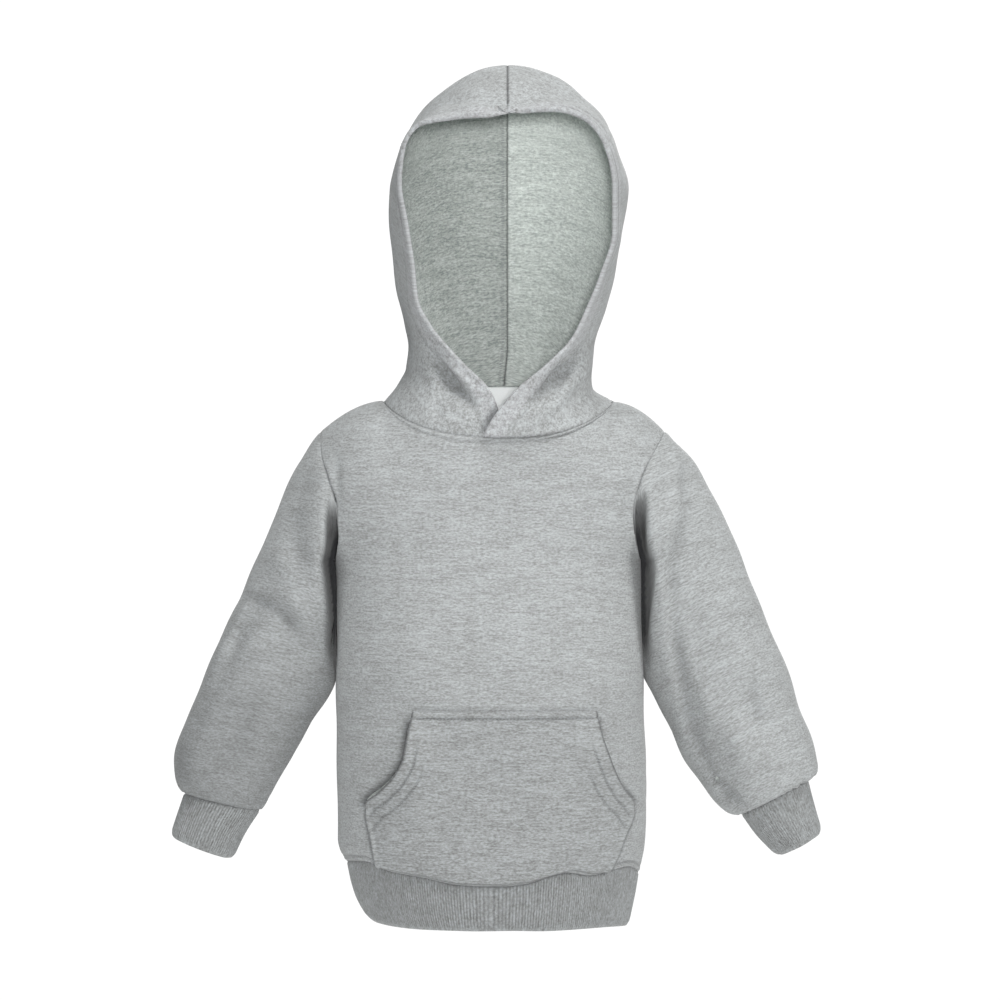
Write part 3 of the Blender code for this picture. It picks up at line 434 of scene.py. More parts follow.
# sections of a sleeve from the armhole to the cuff seam, and of a cuff on to its open end: the
# middle, the half width across the arm, the half depth, and the lean in degrees
sectionColumns = "share x y z width depth lean"
sleeveSections = {
    "right": SmoothTable(sectionColumns, (
        (0.00, -133, 6, -104, 56, 47, 30), (0.20, -149, 8, -148, 49.5, 47, 27),
        (0.38, -171.5, 9, -196, 50, 45, 24), (0.56, -194, 8, -240, 47, 42, 23),
        (0.74, -210, 6, -272, 45.5, 38, 19), (0.90, -221.2, 3, -301.7, 41.0, 33, 14),
        (0.965, -222.5, 2, -313, 36.8, 29, 12), (1.00, -222.3, 1, -321.2, 31.2, 24, 13))),
    "left": SmoothTable(sectionColumns, (
        (0.00, 122, 5, -100, 58, 48, 30), (0.20, 142, 7, -146, 55.5, 48, 25),
        (0.38, 160, 8, -190, 54.6, 46.5, 21), (0.54, 176, 8, -225, 53.2, 44.5, 19),
        (0.70, 192, 7, -261, 51, 41, 18), (0.82, 203, 5, -286, 49, 37.5, 17),
        (0.92, 212, 3, -305, 44.8, 33, 19), (0.97, 217, 1, -313.5, 38.8, 29, 23),
        (1.00, 219.4, 0, -317, 30.2, 23.5, 28)))}
cuffSections = {
    "right": SmoothTable(sectionColumns, (
        (0.0, -222.5, 1.0, -321.7, 30.5, 23.2, 13), (0.5, -230.8, -3.0, -338.3, 27.6, 22.0, 18),
        (1.0, -237.6, -7.0, -355.3, 26.2, 20.6, 21))),
    "left": SmoothTable(sectionColumns, (
        (0.0, 219.7, 0.0, -317.4, 29.5, 22.8, 28), (0.5, 227.8, -2.0, -335.0, 25.8, 21.6, 27),
        (1.0, 238.6, -4.0, -353.2, 20.4, 20.0, 29)))}
arm = dict(roundness=2.15, length=250.0, girth=290.0, blendEnd=0.34, underarmPull=(12.0, 58.0),
           tipPull={"right": (60.0, 44.0), "left": (84.0, 30.0)}, forwardPull=14.0,
           landingPull=0.8, clearance=1.4, freedom=60.0, clearShare=0.10, squashShare=0.14,
           squashSoftness=2.5, seamGap=-0.6)


def sideSign(side):
    return -1.0 if side == "right" else 1.0


def armholeLoop(side, turn):
    # the armhole seam, from the shoulder tip down the front, 0 to 0.5, and up the back
    low, tip = body["underarmZ"], body["shoulderTipZ"]
    z = low + (tip - low) * (1.0 + np.cos(2 * math.pi * turn)) / 2
    x = body["x"] + sideSign(side) * getattr(armhole(z), side)
    y = np.where(np.sin(2 * math.pi * turn) > 0, torsoY(-1, x, z), torsoY(1, x, z))
    blend = np.clip(np.abs(np.sin(2 * math.pi * turn)) * 1e4, 0.0, 1.0)
    return np.stack([x + sideSign(side) * arm["seamGap"], y * blend, z], axis=-1)


def sectionPoint(table, side, turn, share):
    # a point of an oval section across an arm
    size, power = table(share), 2 / arm["roundness"]
    lean = np.radians(size.lean)
    outward = signedPower(np.cos(2 * math.pi * turn), power) * size.width
    forward = signedPower(np.sin(2 * math.pi * turn), power) * size.depth
    return np.stack([size.x + sideSign(side) * outward * np.cos(lean), size.y - forward,
                     size.z + outward * np.sin(lean)], axis=-1)


def besideBody(side, point, share):
    # how far a sleeve's point lies from the body's middle, kept off the side of the body
    size = torso(point[..., 2])
    depth = np.where(point[..., 1] < 0, size.front, size.back)
    ahead = np.clip(np.abs(point[..., 1]) / depth, 0.0, 1.0) ** body["roundness"]
    limit = getattr(size, side) * (1.0 - ahead) ** (1 / body["roundness"]) + arm["clearance"]
    kept = smoothStep(share / arm["clearShare"])
    limit = limit * kept + arm["freedom"] * (1.0 - kept)
    free = np.abs(point[..., 0] - body["x"])
    squashed = limit + (free - limit + np.hypot(free - limit, arm["squashSoftness"])) / 2
    squash = smoothStep(share / arm["squashShare"])
    return squashed * squash + free * (1.0 - squash)


def sleeveSurface(side, turn, share):
    # turn 0 is the outer side of the arm, 0.25 the front and 0.5 the underside
    table, end = sleeveSections[side], arm["blendEnd"]
    section = sectionPoint(table, side, turn, share)
    landing = sectionPoint(table, side, turn, np.full_like(share, end))
    past = sectionPoint(table, side, turn, np.full_like(share, end + 0.01))
    landingPull = (past - landing) / 0.01 * end * arm["landingPull"]
    top = (1.0 + np.cos(2 * math.pi * turn)) / 2
    (tipOut, tipDown), (lowOut, lowDown) = arm["tipPull"][side], arm["underarmPull"]
    startPull = np.stack([sideSign(side) * (lowOut + (tipOut - lowOut) * top),
                          -arm["forwardPull"] * np.sin(2 * math.pi * turn),
                          -(lowDown + (tipDown - lowDown) * top)], axis=-1)
    t = np.clip(share / end, 0.0, 1.0)[..., None]
    bridge = (armholeLoop(side, turn) * (2 * t**3 - 3 * t**2 + 1)
              + startPull * (t**3 - 2 * t**2 + t)
              + landing * (3 * t**2 - 2 * t**3) + landingPull * (t**3 - t**2))
    point = np.where(share[..., None] < end, bridge, section)
    point[..., 0] = body["x"] + sideSign(side) * besideBody(side, point, share)
    return point


# the hood's middle seam from the neck up the back and over to the opening, and lines round each
# half with the point where the opening's edge cuts them
hoodSeam = SmoothTable("share y z", (
    (0.00, 64.0, 14.0), (0.06, 68.0, 28.0), (0.12, 73.0, 45.0), (0.20, 81.0, 69.0),
    (0.28, 88.0, 96.0), (0.37, 95.0, 126.0), (0.46, 99.0, 158.0), (0.56, 97.0, 194.0),
    (0.66, 86.0, 226.0), (0.75, 66.0, 250.0), (0.83, 38.0, 264.0), (0.90, 6.0, 266.5),
    (0.95, -28.0, 252.0), (1.00, -70.0, 218.5)))
hoodColumns = "share y z width edgeX edgeY edgeZ"
hoodLines = {
    "right": SmoothTable(hoodColumns, (
        (0.00, 0, -1, 99, 14, -76, -30), (0.06, 0, 10, 90, 2, -75, -10),
        (0.12, 0, 24, 79.5, -12, -73, 9), (0.20, 2, 42, 77.2, -33, -69, 30),
        (0.28, 5, 60, 80.8, -55, -64, 56), (0.37, 8, 82, 85.0, -65, -60, 77),
        (0.46, 10, 108, 88, -68, -57, 104), (0.56, 11, 136, 91, -73, -55, 136),
        (0.66, 10, 168, 91.5, -78, -56, 168), (0.75, 2, 198, 83.5, -75, -59, 195),
        (0.83, -14, 219, 69.5, -63, -64, 212), (0.90, -34, 229, 49.5, -42, -68, 216),
        (0.95, -52, 229, 31, -21, -70, 218), (1.00, -70, 218.5, 0, 6, -70, 218.5))),
    "left": SmoothTable(hoodColumns, (
        (0.00, 0, -1, 85, -3, -76, -30), (0.06, 0, 10, 68, 3, -75, -12),
        (0.12, 0, 24, 65.5, 14, -73, 5), (0.20, 2, 42, 67.2, 38, -69, 26),
        (0.28, 5, 60, 72.5, 57, -64, 46), (0.37, 8, 82, 78.5, 70, -60, 73),
        (0.46, 10, 108, 84.5, 80, -57, 98), (0.56, 11, 136, 91, 89, -55, 130),
        (0.66, 10, 168, 94, 89, -56, 165), (0.75, 2, 199, 86, 82, -59, 197),
        (0.83, -14, 221, 72, 65, -64, 217), (0.90, -34, 232, 51, 42, -68, 223),
        (0.95, -52, 231, 32, 23, -70, 222), (1.00, -70, 218.5, 0, 6, -70, 218.5)))}
hood = dict(x=6.0, roundness=2.3, lineCurve=1.4, seamBlend=0.13, lapLift=5.2, lapX=(75.0, 50.0),
            lapZ=(90.0, 80.0), seamGap=-1.0)


def neckPoint(side, angle):
    # the neck seam: 0 is the front middle, 90 degrees the shoulder, 180 the back
    reach = neck["halfWidth"] * signedPower(np.sin(angle), 2 / neck["roundness"])
    shift = neck["backShift"] * np.maximum(-np.cos(angle), 0.0) ** 4
    x = neck["x"] + sideSign(side) * reach + shift
    front = np.stack([x, torsoY(-1, x, neckline(-1, x)), neckline(-1, x)], axis=-1)
    back = np.stack([x, torsoY(1, x, neckline(1, x)), neckline(1, x)], axis=-1)
    return np.where((np.cos(angle) > 0)[..., None], front, back)


def openingTurn(side, size):
    # turn at which a line round the hood meets the opening's edge
    across = sideSign(side) * (size.edgeX - hood["x"]) / np.maximum(size.width, 1e-6)
    return np.arcsin(signedPower(np.clip(across, -1.0, 0.999), hood["roundness"] / 2))


def hoodSurface(side, u, v):
    # half of the hood: u runs from the opening's edge to the middle seam, v from the neck seam
    # up to the middle of the opening's top
    sign, power, curve = sideSign(side), 2 / hood["roundness"], hood["lineCurve"]
    size = hoodLines[side](v)
    start = openingTurn(side, size)
    angle = start + (math.pi - start) * u

    def loop(size, seam):
        ahead = signedPower(np.cos(angle), power)
        toEdge = ahead / np.maximum(np.abs(np.cos(openingTurn(side, size))) ** power, 0.02)
        y = np.where(ahead > 0, size.y + (size.edgeY - size.y) * toEdge,
                     size.y - (seam.y - size.y) * ahead)
        z = np.where(ahead > 0, size.z + (size.edgeZ - size.z) * np.abs(toEdge) ** curve,
                     size.z + (seam.z - size.z) * np.abs(ahead) ** curve)
        x = hood["x"] + sign * size.width * signedPower(np.sin(angle), power)
        return np.stack([x, y, z], axis=-1)

    # the lowest lines are pulled down on to the neck seam
    low = np.zeros_like(v)
    seam = neckPoint(side, angle)
    seam[..., 2] += hood["seamGap"]
    pull = (1.0 - smoothStep(v / hood["seamBlend"]))[..., None]
    point = loop(size, hoodSeam(v)) + (seam - loop(hoodLines[side](low), hoodSeam(low))) * pull
    if side == "left":  # laps over the right half at the throat
        near = smoothStep((hood["lapX"][0] - point[..., 0]) / hood["lapX"][1])
        near = near * smoothStep((hood["lapZ"][0] - point[..., 2]) / hood["lapZ"][1])
        point[..., 1] -= hood["lapLift"] * near * (point[..., 1] < 0)
    return point


print("forms ready")


class Nodes:
    # a small helper that adds and joins shader nodes

    def __init__(self, name):
        self.material = bpy.data.materials.new(name)
        self.material.use_nodes = True
        self.tree = self.material.node_tree
        self.shader = self.tree.nodes["Principled BSDF"]

    def add(self, kind, links=(), **settings):
        node = self.tree.nodes.new(kind)
        for key, value in settings.items():
            if key.startswith("in_"):
                node.inputs[key[3:].replace("_", " ")].default_value = value
            else:
                setattr(node, key, value)
        for source, target in links:
            self.tree.links.new(source, node.inputs[target])
        return node

    def mix(self, first, second, share, blend="MIX"):
        node = self.add("ShaderNodeMix", data_type="RGBA", blend_type=blend)
        for value, target in ((share, 0), (first, 6), (second, 7)):
            if isinstance(value, bpy.types.NodeSocket):
                self.tree.links.new(value, node.inputs[target])
            else:
                node.inputs[target].default_value = value
        return node.outputs[2]

    def maths(self, operation, first, second, third=None, clamp=False):
        node = self.add("ShaderNodeMath", operation=operation, use_clamp=clamp)
        for target, value in enumerate((first, second, third)):
            if isinstance(value, bpy.types.NodeSocket):
                self.tree.links.new(value, node.inputs[target])
            elif value is not None:
                node.inputs[target].default_value = value
        return node.outputs[0]

    def noise(self, coordinates, across, along, detail=2.0, roughness=0.5):
        # noise whose marks have their own size in each direction, from counts for each metre
        scaled = self.add("ShaderNodeVectorMath", [(coordinates, 0)], operation="MULTIPLY")
        scaled.inputs[1].default_value = (across, along, (across + along) / 2)
        node = self.add("ShaderNodeTexNoise", [(scaled.outputs[0], "Vector")], in_Scale=1.0,
                        in_Detail=detail, in_Roughness=roughness)
        return node.outputs["Fac"]


def greys(level, tint):
    return (level * tint[0], level * tint[1], level * tint[2], 1.0)


def makeMarl(name, look):
    # marl knit: dark, mid and white fibres lie in short streaks along the rows of loops, over
    # broad soft patches, with a fuzz that catches the light. Cloth reads its own UV map, and
    # stitches, which have none, read Object coordinates.
    knit = Nodes(name)
    place = knit.add("ShaderNodeTexCoord").outputs["Object"]
    uv = place if look.get("threads") else knit.add("ShaderNodeTexCoord").outputs["UV"]
    streak = knit.noise(uv, *look["streak"], detail=3.0, roughness=0.6)
    fleck = knit.noise(uv, *look["fleck"], detail=2.0, roughness=0.6)
    patch = knit.noise(uv, *look["patch"], detail=2.0)
    crown = knit.add("ShaderNodeAttribute", attribute_name="crown").outputs["Fac"]

    def evenOut(marks, count):
        # the UV map is stretched at the hood's ends, so marks that keep their size take over
        even = knit.noise(place, count, count, detail=2.0, roughness=0.6)
        return knit.maths("MULTIPLY_ADD", knit.maths("SUBTRACT", even, marks), crown, marks)

    streak, fleck = (evenOut(marks, count)
                     for marks, count in zip((streak, fleck), look["evenMarks"]))
    level, total = 0.0, 0.0
    for marks, share in ((streak, "streakShare"), (fleck, "fleckShare"), (patch, "patchShare")):
        level = knit.maths("MULTIPLY_ADD", marks, look[share], level)
        total += look[share]
    centred = knit.maths("SUBTRACT", level, total / 2)
    value = knit.maths("MULTIPLY_ADD", centred, look["contrast"], 0.5, clamp=True)
    ramp = knit.add("ShaderNodeValToRGB", [(value, "Fac")])
    stops = ramp.color_ramp.elements
    stops[0].position, stops[1].position = 0.05, 0.95
    stops[0].color = greys(look["level"] * look["dark"], look["darkTint"])
    stops[1].color = greys(look["level"] * look["light"], look["lightTint"])
    middle = stops.new(0.5)
    middle.color = greys(look["level"], look["tint"])
    colour = ramp.outputs["Color"]
    if look.get("speckle"):  # dark dots where the brushed nap parts
        dots = knit.noise(uv, *look["dots"], detail=1.0)
        dots = knit.maths("MULTIPLY_ADD", dots, *look["dotEdge"], clamp=True)
        dots = knit.maths("MULTIPLY", dots, look["speckle"])
        colour = knit.mix(colour, greys(look["level"] * look["dotLevel"], look["darkTint"]), dots)
    # painted shade: a mark that pieces lay where shade falls darkens the colour
    paintedShade = knit.add("ShaderNodeAttribute", attribute_name="paintedShade").outputs["Fac"]
    colour = knit.mix(colour, look["paintedShadeColour"], paintedShade, "MULTIPLY")
    knit.tree.links.new(colour, knit.shader.inputs["Base Color"])
    knit.shader.inputs["Roughness"].default_value = look["roughness"]
    knit.shader.inputs["Specular IOR Level"].default_value = 0.15
    knit.shader.inputs["Sheen Weight"].default_value = look["sheen"]
    knit.shader.inputs["Sheen Roughness"].default_value = 0.6
    loops = knit.noise(uv, *look["loops"], detail=1.0)
    fuzz = knit.noise(uv, *look["fuzz"], detail=3.0, roughness=0.65)
    relief = knit.maths("MULTIPLY_ADD", fuzz, 1.0, loops)
    bump = knit.add("ShaderNodeBump", [(relief, "Height")], in_Strength=look["bump"],
                    in_Distance=0.0006)
    knit.tree.links.new(bump.outputs["Normal"], knit.shader.inputs["Normal"])
    return knit.material


# counts of marks for each metre across and along the cloth, their shares, grey levels,
# and the near black that painted shade darkens the colour towards
marlFace = dict(streak=(105.0, 560.0), fleck=(400.0, 860.0), patch=(26.0, 110.0),
                loops=(300.0, 900.0), fuzz=(420.0, 420.0), evenMarks=(260.0, 620.0),
                streakShare=0.85, fleckShare=1.15, patchShare=0.34, contrast=1.6, level=0.325,
                dark=0.66, light=1.34, tint=(0.97, 1.0, 1.0), darkTint=(0.99, 1.0, 0.99),
                lightTint=(0.955, 1.0, 1.02), paintedShadeColour=(0.08, 0.08, 0.085, 1.0),
                roughness=0.95, sheen=0.2, bump=0.35)
marlInside = dict(marlFace, streak=(110.0, 430.0), fleck=(330.0, 760.0), level=0.36,
                  tint=(0.94, 1.0, 0.955), lightTint=(0.95, 1.0, 0.965),
                  darkTint=(0.92, 1.0, 0.97), speckle=0.4, dots=(700.0, 760.0),
                  dotEdge=(9.0, -5.4), dotLevel=0.5, bump=0.8, contrast=2.0)
ribFace = dict(marlFace, streak=(420.0, 100.0), fleck=(900.0, 420.0), patch=(60.0, 25.0),
               patchShare=0.15, loops=(500.0, 500.0), level=0.25, contrast=1.7, bump=0.3)
tapeFace = dict(marlFace, streak=(600.0, 900.0), fleck=(1500.0, 1500.0), level=0.97, dark=0.98,
                light=1.01, tint=(0.98, 1.0, 1.0), darkTint=(0.98, 1.0, 1.0),
                lightTint=(0.98, 1.0, 1.0), roughness=0.6, sheen=0.0, bump=0.12)
threadFace = dict(marlFace, streak=(900.0, 900.0), fleck=(1500.0, 1500.0), level=0.27, dark=0.9,
                  light=1.1, roughness=0.7, bump=0.1, threads=True)
fleeceOut = makeMarl("marlFleece", marlFace)
fleeceIn = makeMarl("brushedInside", marlInside)
# painted light: lighter copies of the inside for the hood's halves, the left half lightest
litInsideRight = makeMarl("brushedInsideLitRight", dict(marlInside, level=0.48))
litInsideLeft = makeMarl("brushedInsideLitLeft", dict(marlInside, level=0.69, contrast=1.6))
fleeceHem = makeMarl("marlHem", dict(marlFace, level=0.35, tint=(0.98, 0.995, 1.015)))
# painted shade: a darker copy of the marl for the pocket, which leans away from the light above
shadedPocketMarl = makeMarl("marlPocketShaded", dict(marlFace, level=0.265, contrast=1.9))
ribOut = makeMarl("ribKnit", ribFace)
tapeOut = makeMarl("bareTape", tapeFace)
threadOut = makeMarl("greyThread", threadFace)
print("materials ready")


def seamProfile(distance, rows):
    # height at a distance from a seam, from rows of (distance, half width, height)
    return sum(height * bell(distance - at, width) for at, width, height in rows)


def gridSteps(length, spots, look, bands=()):
    return gradedSteps(length, spots, look["coarse"], look["fine"], look["reach"], bands) / length


def distanceTo(x, z, lineX, lineZ):
    # shortest way from each place to a line of points
    flat = np.stack([x.ravel(), z.ravel()], axis=-1)
    best = np.full(len(flat), 1e9)
    for fromX, fromZ, toX, toZ in zip(lineX, lineZ, lineX[1:], lineZ[1:]):
        run = np.array([toX - fromX, toZ - fromZ])
        t = np.clip(((flat - (fromX, fromZ)) @ run) / (run @ run), 0.0, 1.0)
        best = np.minimum(best, np.hypot(*(flat - (fromX, fromZ) - t[:, None] * run).T))
    return best.reshape(x.shape)


def seamFade(z):
    # the armhole seam is faint near the tip of the shoulder
    return 0.3 + 0.7 * smoothStep((-44.0 - z) / 14.0)


def grooveShade(seams):
    # dents of the sewing look darker, because little light falls between the fibres there
    return np.clip(-0.45 * seams, 0.0, 0.65)


def foldShade(folds):
    # deep troughs between folds hold a soft shadow
    return np.clip(-0.05 * folds, 0.0, 0.28)


def lift(points, normals, relief):
    return points + normals * relief[..., None]


def outwardTube(points):
    # normals of a tube, turned away from its middle line
    normals = gridNormals(points, True)
    middle = points.mean(axis=1, keepdims=True)
    return normals * np.sign(np.sum(normals * (points - middle), axis=(1, 2), keepdims=True))


def startGroup(name, inputs):
    # a geometry tree that takes a mesh and named values of some kinds, and gives a mesh
    group = bpy.data.node_groups.new(name, "GeometryNodeTree")
    for title, kind in (("Geometry", "Geometry"), *inputs):
        group.interface.new_socket(title, in_out="INPUT", socket_type="NodeSocket" + kind)
    group.interface.new_socket("Geometry", in_out="OUTPUT", socket_type="NodeSocketGeometry")
    return group, group.nodes.new("NodeGroupInput")


def endGroup(group, made, material):
    # the tree's last steps: plain meshes, with their material
    real = group.nodes.new("GeometryNodeRealizeInstances")
    group.links.new(made, real.inputs[0])
    paint = group.nodes.new("GeometryNodeSetMaterial")
    group.links.new(real.outputs[0], paint.inputs["Geometry"])
    group.links.new(material, paint.inputs["Material"])
    group.links.new(paint.outputs[0], group.nodes.new("NodeGroupOutput").inputs[0])
    return group


def runGroup(thing, group, values):
    # runs a node group on an object once and keeps the plain mesh that comes out
    changer = thing.modifiers.new(group.name, "NODES")
    changer.node_group = group
    for socket in group.interface.items_tree:
        if socket.item_type == "SOCKET" and socket.in_out == "INPUT" and socket.name in values:
            changer[socket.identifier] = values[socket.name]
    bpy.context.view_layer.update()
    ready = thing.evaluated_get(bpy.context.evaluated_depsgraph_get())
    mesh = bpy.data.meshes.new_from_object(ready)
    mesh.name = thing.name
    thing.modifiers.clear()
    thing.data = mesh
    return thing


def stitchGroup():
    # sews along a path: evenly spaced rounded stitches that lie along it, their flat side down
    group, source = startGroup("sewnRow", (("Pitch", "Float"), ("Stitch size", "Vector"),
                                           ("Thread", "Material")))
    nodes, links = group.nodes, group.links
    curve = nodes.new("GeometryNodeMeshToCurve")
    links.new(source.outputs["Geometry"], curve.inputs["Mesh"])
    even = nodes.new("GeometryNodeResampleCurve")
    even.mode = "LENGTH"
    links.new(curve.outputs[0], even.inputs["Curve"])
    links.new(source.outputs["Pitch"], even.inputs["Length"])
    outward = nodes.new("GeometryNodeInputNamedAttribute")
    outward.data_type = "FLOAT_VECTOR"
    outward.inputs["Name"].default_value = "outward"
    turn = nodes.new("FunctionNodeAxesToRotation")
    turn.primary_axis, turn.secondary_axis = "Z", "X"
    links.new(outward.outputs["Attribute"], turn.inputs["Primary Axis"])
    links.new(nodes.new("GeometryNodeInputTangent").outputs[0], turn.inputs["Secondary Axis"])
    loop = nodes.new("GeometryNodeMeshUVSphere")
    loop.inputs["Segments"].default_value = 6
    loop.inputs["Rings"].default_value = 5
    loop.inputs["Radius"].default_value = 0.5
    lay = nodes.new("GeometryNodeInstanceOnPoints")
    links.new(even.outputs[0], lay.inputs["Points"])
    links.new(loop.outputs["Mesh"], lay.inputs["Instance"])
    links.new(turn.outputs[0], lay.inputs["Rotation"])
    links.new(source.outputs["Stitch size"], lay.inputs["Scale"])
    return endGroup(group, lay.outputs[0], source.outputs["Thread"])


stitching = stitchGroup()
rowLook = dict(pitch=2.7, size=(2.0, 0.55, 0.45))  # straight stitches in a row
loopLook = dict(pitch=1.5, size=(0.5, 3.4, 0.4))  # overlock, across the seam


def sew(name, paths, look=rowLook):
    # one object with the stitches of some paths, each a line of points and outward ways
    verts, edges, ways = [], [], []
    for spots, outward in paths:
        start = len(verts)
        verts += spots.tolist()
        ways += outward.tolist()
        edges += [(start + i, start + i + 1) for i in range(len(spots) - 1)]
    mesh = bpy.data.meshes.new(name)
    mesh.from_pydata([[c * mm for c in vert] for vert in verts], edges, [])
    stored = mesh.attributes.new("outward", "FLOAT_VECTOR", "POINT")
    stored.data.foreach_set("vector", np.array(ways, np.float32).ravel())
    piece = bpy.data.objects.new(name, mesh)
    bpy.context.scene.collection.objects.link(piece)
    size = tuple(side * mm for side in look["size"])
    runGroup(piece, stitching, {"Pitch": look["pitch"] * mm, "Stitch size": size,
                                "Thread": threadOut})
    piece.data.shade_smooth()
    return piece


# front and back: a seam is rows of (distance, half width, height)
bodyLook = dict(thickness=2.0, height=371.0, sideHeight=246.0, girth=310.0, coarse=2.6, fine=0.8,
                reach=6.0, wave=0.5, waveLength=70.0, seeds={-1: 10, 1: 12}, innerShare=0.6,
                neckSeam=((0.3, 0.8, -1.1), (2.5, 1.2, 0.8), (4.6, 0.8, -1.4)),
                shoulderSeam=((0.0, 1.6, -1.0),), sideSeam=((0.0, 1.8, -1.2),),
                armholeSeam=((0.0, 1.0, -0.7), (2.6, 1.6, 0.35)),
                hemSeam=((0.0, 1.3, -1.1), (2.6, 1.2, 0.9), (5.2, 0.8, -1.2)),
                neckRows=(0.8, 4.6), hemRow=5.2, neckPast=(4.0, 6.0), calmReach=(30.0, 20.0),
                # how strongly the seams at neck and hem show: least, more, from where, over what
                neckStrength=(0.4, 0.8, 10.0, 60.0), hemStrength=(0.25, 0.75),
                # bands of the width and the height with a finer grid, beside the pocket
                widthBands=((66.0, 118.0, 1.3), (214.0, 268.0, 1.3)),
                heightBands=((52.0, 136.0, 1.9),),
                # slack cloth beside the pocket's hand openings: way from the edge, half width and
                # height;
                # where it starts and ends; how dark the painted shadow beside the openings is; then
                # a thin line of painted shade beside the sewn sides, and how dark it is
                besidePocket={"right": (2.6, 3.4, -6.5), "left": (2.0, 2.0, -4.0)},
                besideZ=(-246.0, -319.0), besideFade=(14.0, 8.0), openingPaintedShadow=0.85,
                sideLine=(0.8, 1.2), sideLinePaintedShade=0.5,
                # painted shade: the low part is a little darker, as less light reaches it
                lowPaintedShade=0.09, lowPaintedShadeZ=(-170.0, 90.0))
bodyFolds = {
    -1: (
        (-106.4, -296, -115.2, -324, 6, 6, 1.3), (-115.2, -324, -120, -350.4, 6, 5, 1.1),
        (-118.4, -128, -115.2, -192, 9, 12, -0.9), (105.6, -56, 108.8, -112, 6, 8, -1),
        (101.6, -36, 97.6, -80, 5, 6, 0.8), (112, -192, 108.8, -288, 8, 9, -0.8),
        (-64, -404, 48, -404, 5, 5, -0.3), (-131.5, -44, -130, -92, 3.6, 3.2, -2.4),
    ),
    1: (
        (-118.4, -96, -96, -192, 9, 12, -1.2), (116, -96, 96, -200, 9, 12, -1.2),
        (-56, -56, 56, -59.2, 10, 12, -1), (-81.6, -320, -102.4, -368, 8, 7, 1.1),
    ),
}


def besidePocket(points):
    # relief of the front panel, which falls back beside the pocket's gaping hand openings, and
    # painted shade: a painted shadow beside the openings and a thin line beside the sewn sides
    look, x, z = bodyLook, points[..., 0], points[..., 2]
    (top, bottom), (topFade, bottomFade) = look["besideZ"], look["besideFade"]
    lineZ = np.linspace(pocketTopZ, pocketFootZ, 60)
    line = pocketEdges(lineZ)
    above = smoothStep((z - bottom) / bottomFade + 0.5)
    gapes = smoothStep((top - z) / topFade) * above
    relief, dark = np.zeros_like(x), np.zeros_like(x)
    for side in ("right", "left"):
        at, width, height = look["besidePocket"][side]
        sideAt, sideWidth = look["sideLine"]
        outside = (x - getattr(pocketEdges(z), side)) * sideSign(side)
        away = distanceTo(x, z, getattr(line, side), lineZ) * np.sign(outside)
        relief += height * bell(away - at, width) * gapes
        dark += look["openingPaintedShadow"] * bell(away - at, width) * gapes
        onSide = bell(away - sideAt, sideWidth) * (1.0 - above) * (z > pocketFootZ)
        dark += look["sideLinePaintedShade"] * onSide
    return relief, dark


def makeBody(name, face):
    look = bodyLook
    bands = (look["heightBands"], look["widthBands"]) if face < 0 else ((), ())
    v = gridSteps(look["height"], (0.0, look["height"]), look, bands[0]) * look["height"]
    side = look["sideHeight"]
    v = np.where(v < side, v / side, 1.0 + (v - side) / (look["height"] - side))
    u = gridSteps(look["girth"], (0.0, look["girth"]), look, bands[1]) * 2.0 - 1.0
    u, v = np.meshgrid(u, v)
    points = torsoSurface(face, u, v)
    normals = gridNormals(points, False) * -face
    across, along = runLengths(points, 1), runLengths(points, 0)
    fromTop, fromLeft = along[-1:] - along, across[:, -1:] - across
    goOn, fade = look["neckPast"]
    fromNeck = np.abs(points[-1:, :, 0] - neck["x"])
    overNeck = smoothStep((neck["halfWidth"] + goOn - fromNeck) / fade)
    above = smoothStep((v - 1.0) * 12.0)  # above the underarm
    facing = smoothStep(normals[..., 1] * face * 2.0)
    least, more, fromX, overX = look["neckStrength"]
    strong = least + more * smoothStep((points[..., 0] - fromX) / overX)
    seams = seamProfile(fromTop, look["neckSeam"]) * overNeck * facing * strong
    seams += seamProfile(fromTop, look["shoulderSeam"]) * (1.0 - overNeck)
    least, more = look["hemStrength"]
    seams += seamProfile(along, look["hemSeam"]) * (least + more * facing)
    for distance in (across, fromLeft):
        seams += seamProfile(distance, look["sideSeam"]) * (1.0 - above)
        seams += seamProfile(distance, look["armholeSeam"]) * above * seamFade(points[..., 2])
    beside, dark = besidePocket(points) if face < 0 else (0.0, 0.0)
    relief = seams + beside
    x, z = seenFrom(points, face)
    lowReach, topReach = look["calmReach"]
    calm = smoothStep(along / lowReach) * smoothStep(fromTop / topReach)
    waves = softWaves(x, z, look["seeds"][face], look["waveLength"], look["wave"])
    relief += waves * calm
    relief += layFolds(bodyFolds[face], points, normals, face)
    outer = lift(points, normals, relief)
    inner = lift(points, normals, relief * look["innerShare"] - look["thickness"])
    uv = np.stack([across - across[:, -1:] / 2, points[..., 2]], axis=-1)
    # painted shade: beside the pocket, and more low down
    lowFrom, lowOver = look["lowPaintedShadeZ"]
    dark = dark + look["lowPaintedShade"] * smoothStep((lowFrom - z) / lowOver)
    piece = makeShell(name, outer, inner, uv, (fleeceOut, fleeceIn),
                      marks=dict(paintedShade=np.maximum(grooveShade(seams), dark)))
    inNeck = overNeck[0] > 0.99
    paths = [pathWhere(outer[:, inNeck], normals[:, inNeck], fromTop[:, inNeck], at)
             for at in look["neckRows"]]
    paths.append(pathWhere(outer, normals, along, look["hemRow"]))
    return piece, sew(name + "Sewing", paths)


for name, face, node in (("bodyFront", -1, "body_front"), ("bodyBack", 1, "body_back")):
    piece, sewing = makeBody(name, face)
    dress(piece, node, [sewing])
print("body ready")

